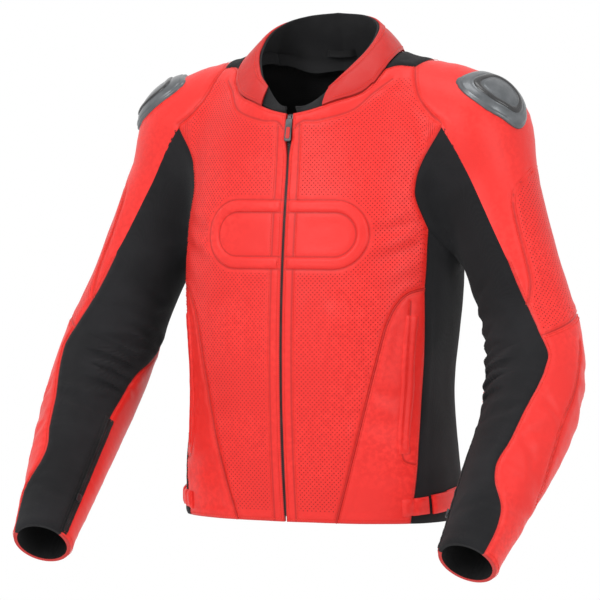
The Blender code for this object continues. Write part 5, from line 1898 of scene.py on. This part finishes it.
def make_slider():
    at, out = front_line(np.array([SLIDER_Z]))
    at, out = at[0], out[0]
    down = np.array([0.0, -out[2], out[1]])
    seat = turned_to(at + out * 0.0006, out, down)
    metal = MATS["metal"]
    body_edge = rounded_outline(0.0130, 0.0092, 0.0026, 0.18)
    body = shaped_plate("front_zip_slider_skin", body_edge, 0.0032, 0.0009, metal, seat)
    bridge_edge = rounded_outline(0.0085, 0.0036, 0.0012)
    bridge_seat = seat @ Matrix.Translation((0, -0.0028, 0.0004))
    bridge = shaped_plate("front_zip_bridge", bridge_edge, 0.0022, 0.0006, metal, bridge_seat)
    for obj in (body, bridge):
        belongs(obj, "front_slider", "zip_metal")
    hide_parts("front_zip_slider")
    hung = seat @ Matrix.Translation((0, -0.0038, -0.0146))
    pull_edge = rounded_outline(0.0300, 0.0088, 0.0026, -0.12)
    pull = shaped_plate("front_zip_pull_skin", pull_edge, 0.0026, 0.0008, metal, hung)
    insert_edge = rounded_outline(0.0150, 0.0052, 0.0018)
    insert_seat = hung @ Matrix.Translation((0, -0.0022, -0.0040))
    insert = shaped_plate("front_zip_pull_insert", insert_edge, 0.0010, 0.0004, MATS["red"], insert_seat)
    for obj in (pull, insert):
        belongs(obj, "front_pull", "zip_metal" if obj is pull else "red_leather")
    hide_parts("front_zip_pull")


CUFF_ZIP_ANGLE = 156.0
CUFF_ZIP_START = 0.437
CUFF_SLIDER_TOP = 0.435  # the first of the eight stations that place the cuff's slider


def make_cuff_zips():
    s = np.linspace(CUFF_ZIP_START, ARM_LENGTH - 0.003, 70)
    across = np.array([-0.0058, -0.0026, 0.0, 0.0026, 0.0058])
    radius = 0.043
    angle = CUFF_ZIP_ANGLE + np.degrees(across / radius)
    grid = on_sleeve(s[:, None] + 0 * angle[None], angle[None] + 0 * s[:, None])
    for label, flip in SIDES:
        heights = np.array([0.0008, 0.0010, 0.0012, 0.0010, 0.0008])
        hold = ("forearm_" + label, "zip_tape", "cuff_zip_" + label)
        raised_band("cuff_zip_tape_" + label, grid, heights, MATS["tape"], flip, hold)
        at = np.arange(CUFF_ZIP_START + 0.003, ARM_LENGTH - 0.006, 0.0022)
        middle = on_sleeve(at, np.full(len(at), CUFF_ZIP_ANGLE))
        up = normals(middle)
        height, _ = relief(flip(middle))
        seat = flip(middle + up * (height + LIFT + 0.0016)[:, None])
        way = flip(np.gradient(middle, axis=0))
        way = unit(way)
        tooth = (0.0013, 0.0042, 0.0014)
        teeth = blocks("cuff_zip_teeth_" + label, seat, way, flip(up), tooth, MATS["teeth"])
        belongs(teeth, "forearm_" + label, "zip_tape")
        stations = np.linspace(CUFF_SLIDER_TOP, ARM_LENGTH - 0.004, 8)
        run = on_sleeve(stations, np.full(8, CUFF_ZIP_ANGLE))
        carrier = flip(run[5][None])[0]
        out = normals(carrier[None])[0]
        down = flip((run[6] - run[5])[None])[0]
        seat = turned_to(carrier + out * 0.0026, out, down)
        edge = rounded_outline(0.0110, 0.0080, 0.0024, 0.15)
        body = shaped_plate("cuff_zip_slider_skin_" + label, edge, 0.0026, 0.0008, MATS["metal"], seat)
        belongs(body, "cuff_slider_" + label, "zip_metal", "cuff_zip_slider_" + label)


# ---------------------------------------------------------------- inside
def make_hanger():
    """A tape loop sewn to the collar's lining at both ends, with room for a hook behind it."""
    turn = np.linspace(-1, 1, 41)
    x = 0.029 * turn
    y = 0.0475 + 0.0140 * smooth_step(np.abs(turn), 0.45, 1.0)
    z = 0.0085 - 0.0030 * (1 - turn**2)
    path = np.stack([x, y, z], -1)
    heights = np.linspace(-0.0045, 0.0045, 5)
    grid = path[:, None, :] + np.array([0.0, 0.0, 1.0]) * heights[None, :, None]
    way = np.gradient(path, axis=0)
    normal = np.stack([way[:, 1], -way[:, 0], 0 * x], -1)
    normal = unit(normal)
    normal = np.repeat(normal, 5, axis=0)
    points = grid.reshape(-1, 3)
    faces = turned_out(points, grid_faces(41, 5), normal)
    edges = border_edges(faces)
    back = points - normal * 0.0012
    total = len(points)
    walls = np.stack([edges[:, 1], edges[:, 0], edges[:, 0] + total, edges[:, 1] + total], -1)
    every = np.vstack([faces, faces[:, ::-1] + total, walls])
    loop = mesh_object("hanger_loop_skin", np.vstack([points, back]), every, MATS["tape"])
    belongs(loop, "shell", "zip_tape", "hanger_loop")


def paint_hidden(frame):
    for name, mat in (
        ("back_protector", "foam"), ("elbow_armour_left", "foam"), ("elbow_armour_right", "foam"),
        ("connection_zip", "tape"),
    ):
        obj = frame["nodes"][name]
        obj.data.materials.clear()
        obj.data.materials.append(MATS[mat])


# ---------------------------------------------------------------- light and camera
TARGET = Vector((-0.0295, -0.0607, -0.325))
CAMERA_AZIMUTH = 25.0
CAMERA_ELEVATION = 2.0
CAMERA_DISTANCE = 5.0
CAMERA_LENS = 230.8


def area(name, size, energy, location):
    light = bpy.data.lights.new(name, "AREA")
    light.shape = "RECTANGLE"
    light.size, light.size_y = size
    light.energy = energy
    obj = bpy.data.objects.new(name, light)
    obj.location = location
    obj.rotation_euler = (TARGET - Vector(location)).to_track_quat("-Z", "Y").to_euler()
    bpy.context.scene.collection.objects.link(obj)


FLOOR_Z = -1.2
FLOOR_R = 2.0


def make_floor():
    """A pale round floor well under the hanging jacket."""
    turn = np.linspace(0, 2 * math.pi, 96, endpoint=False)
    rim = np.stack([np.cos(turn) * FLOOR_R, np.sin(turn) * FLOOR_R, np.full(96, FLOOR_Z)], -1)
    pale, _, _, shader = new_material("pale_floor", 0.7)
    shader.inputs["Base Color"].default_value = (0.86, 0.86, 0.85, 1.0)
    mesh_object("floor", rim, [list(range(96))], pale)


def make_studio():
    scene = bpy.context.scene
    make_floor()
    world = bpy.data.worlds.new("white")
    world.use_nodes = True
    background = world.node_tree.nodes["Background"]
    background.inputs[0].default_value = (1, 1, 1, 1)
    background.inputs[1].default_value = 1.0
    scene.world = world
    scene.view_settings.view_transform = "Standard"
    area("key", (0.9, 1.3), 26.0, (-0.6, -2.4, 0.9))
    area("right", (0.6, 1.5), 16.0, (2.2, -1.4, 0.4))
    area("top", (1.2, 0.9), 12.0, (0.1, -0.5, 1.9))
    camera = bpy.data.cameras.new("camera")
    camera.sensor_width = 36.0
    camera.lens = CAMERA_LENS
    obj = bpy.data.objects.new("camera", camera)
    azimuth, elevation = math.radians(CAMERA_AZIMUTH), math.radians(CAMERA_ELEVATION)
    back = Vector((
        math.sin(azimuth) * math.cos(elevation), -math.cos(azimuth) * math.cos(elevation), math.sin(elevation)
    ))
    obj.location = TARGET + back * CAMERA_DISTANCE
    obj.rotation_euler = (-back).to_track_quat("-Z", "Y").to_euler()
    scene.collection.objects.link(obj)
    scene.camera = obj


# ---------------------------------------------------------------- the whole jacket
make_torso()
SLEEVE_GRIDS = make_sleeves()
make_linings(SLEEVE_GRIDS)
make_stitches()
make_piping()
make_collar()
make_cups()
make_bands()
make_front_zip()
make_slider()
make_cuff_zips()
make_hanger()
paint_hidden(frame)
make_studio()
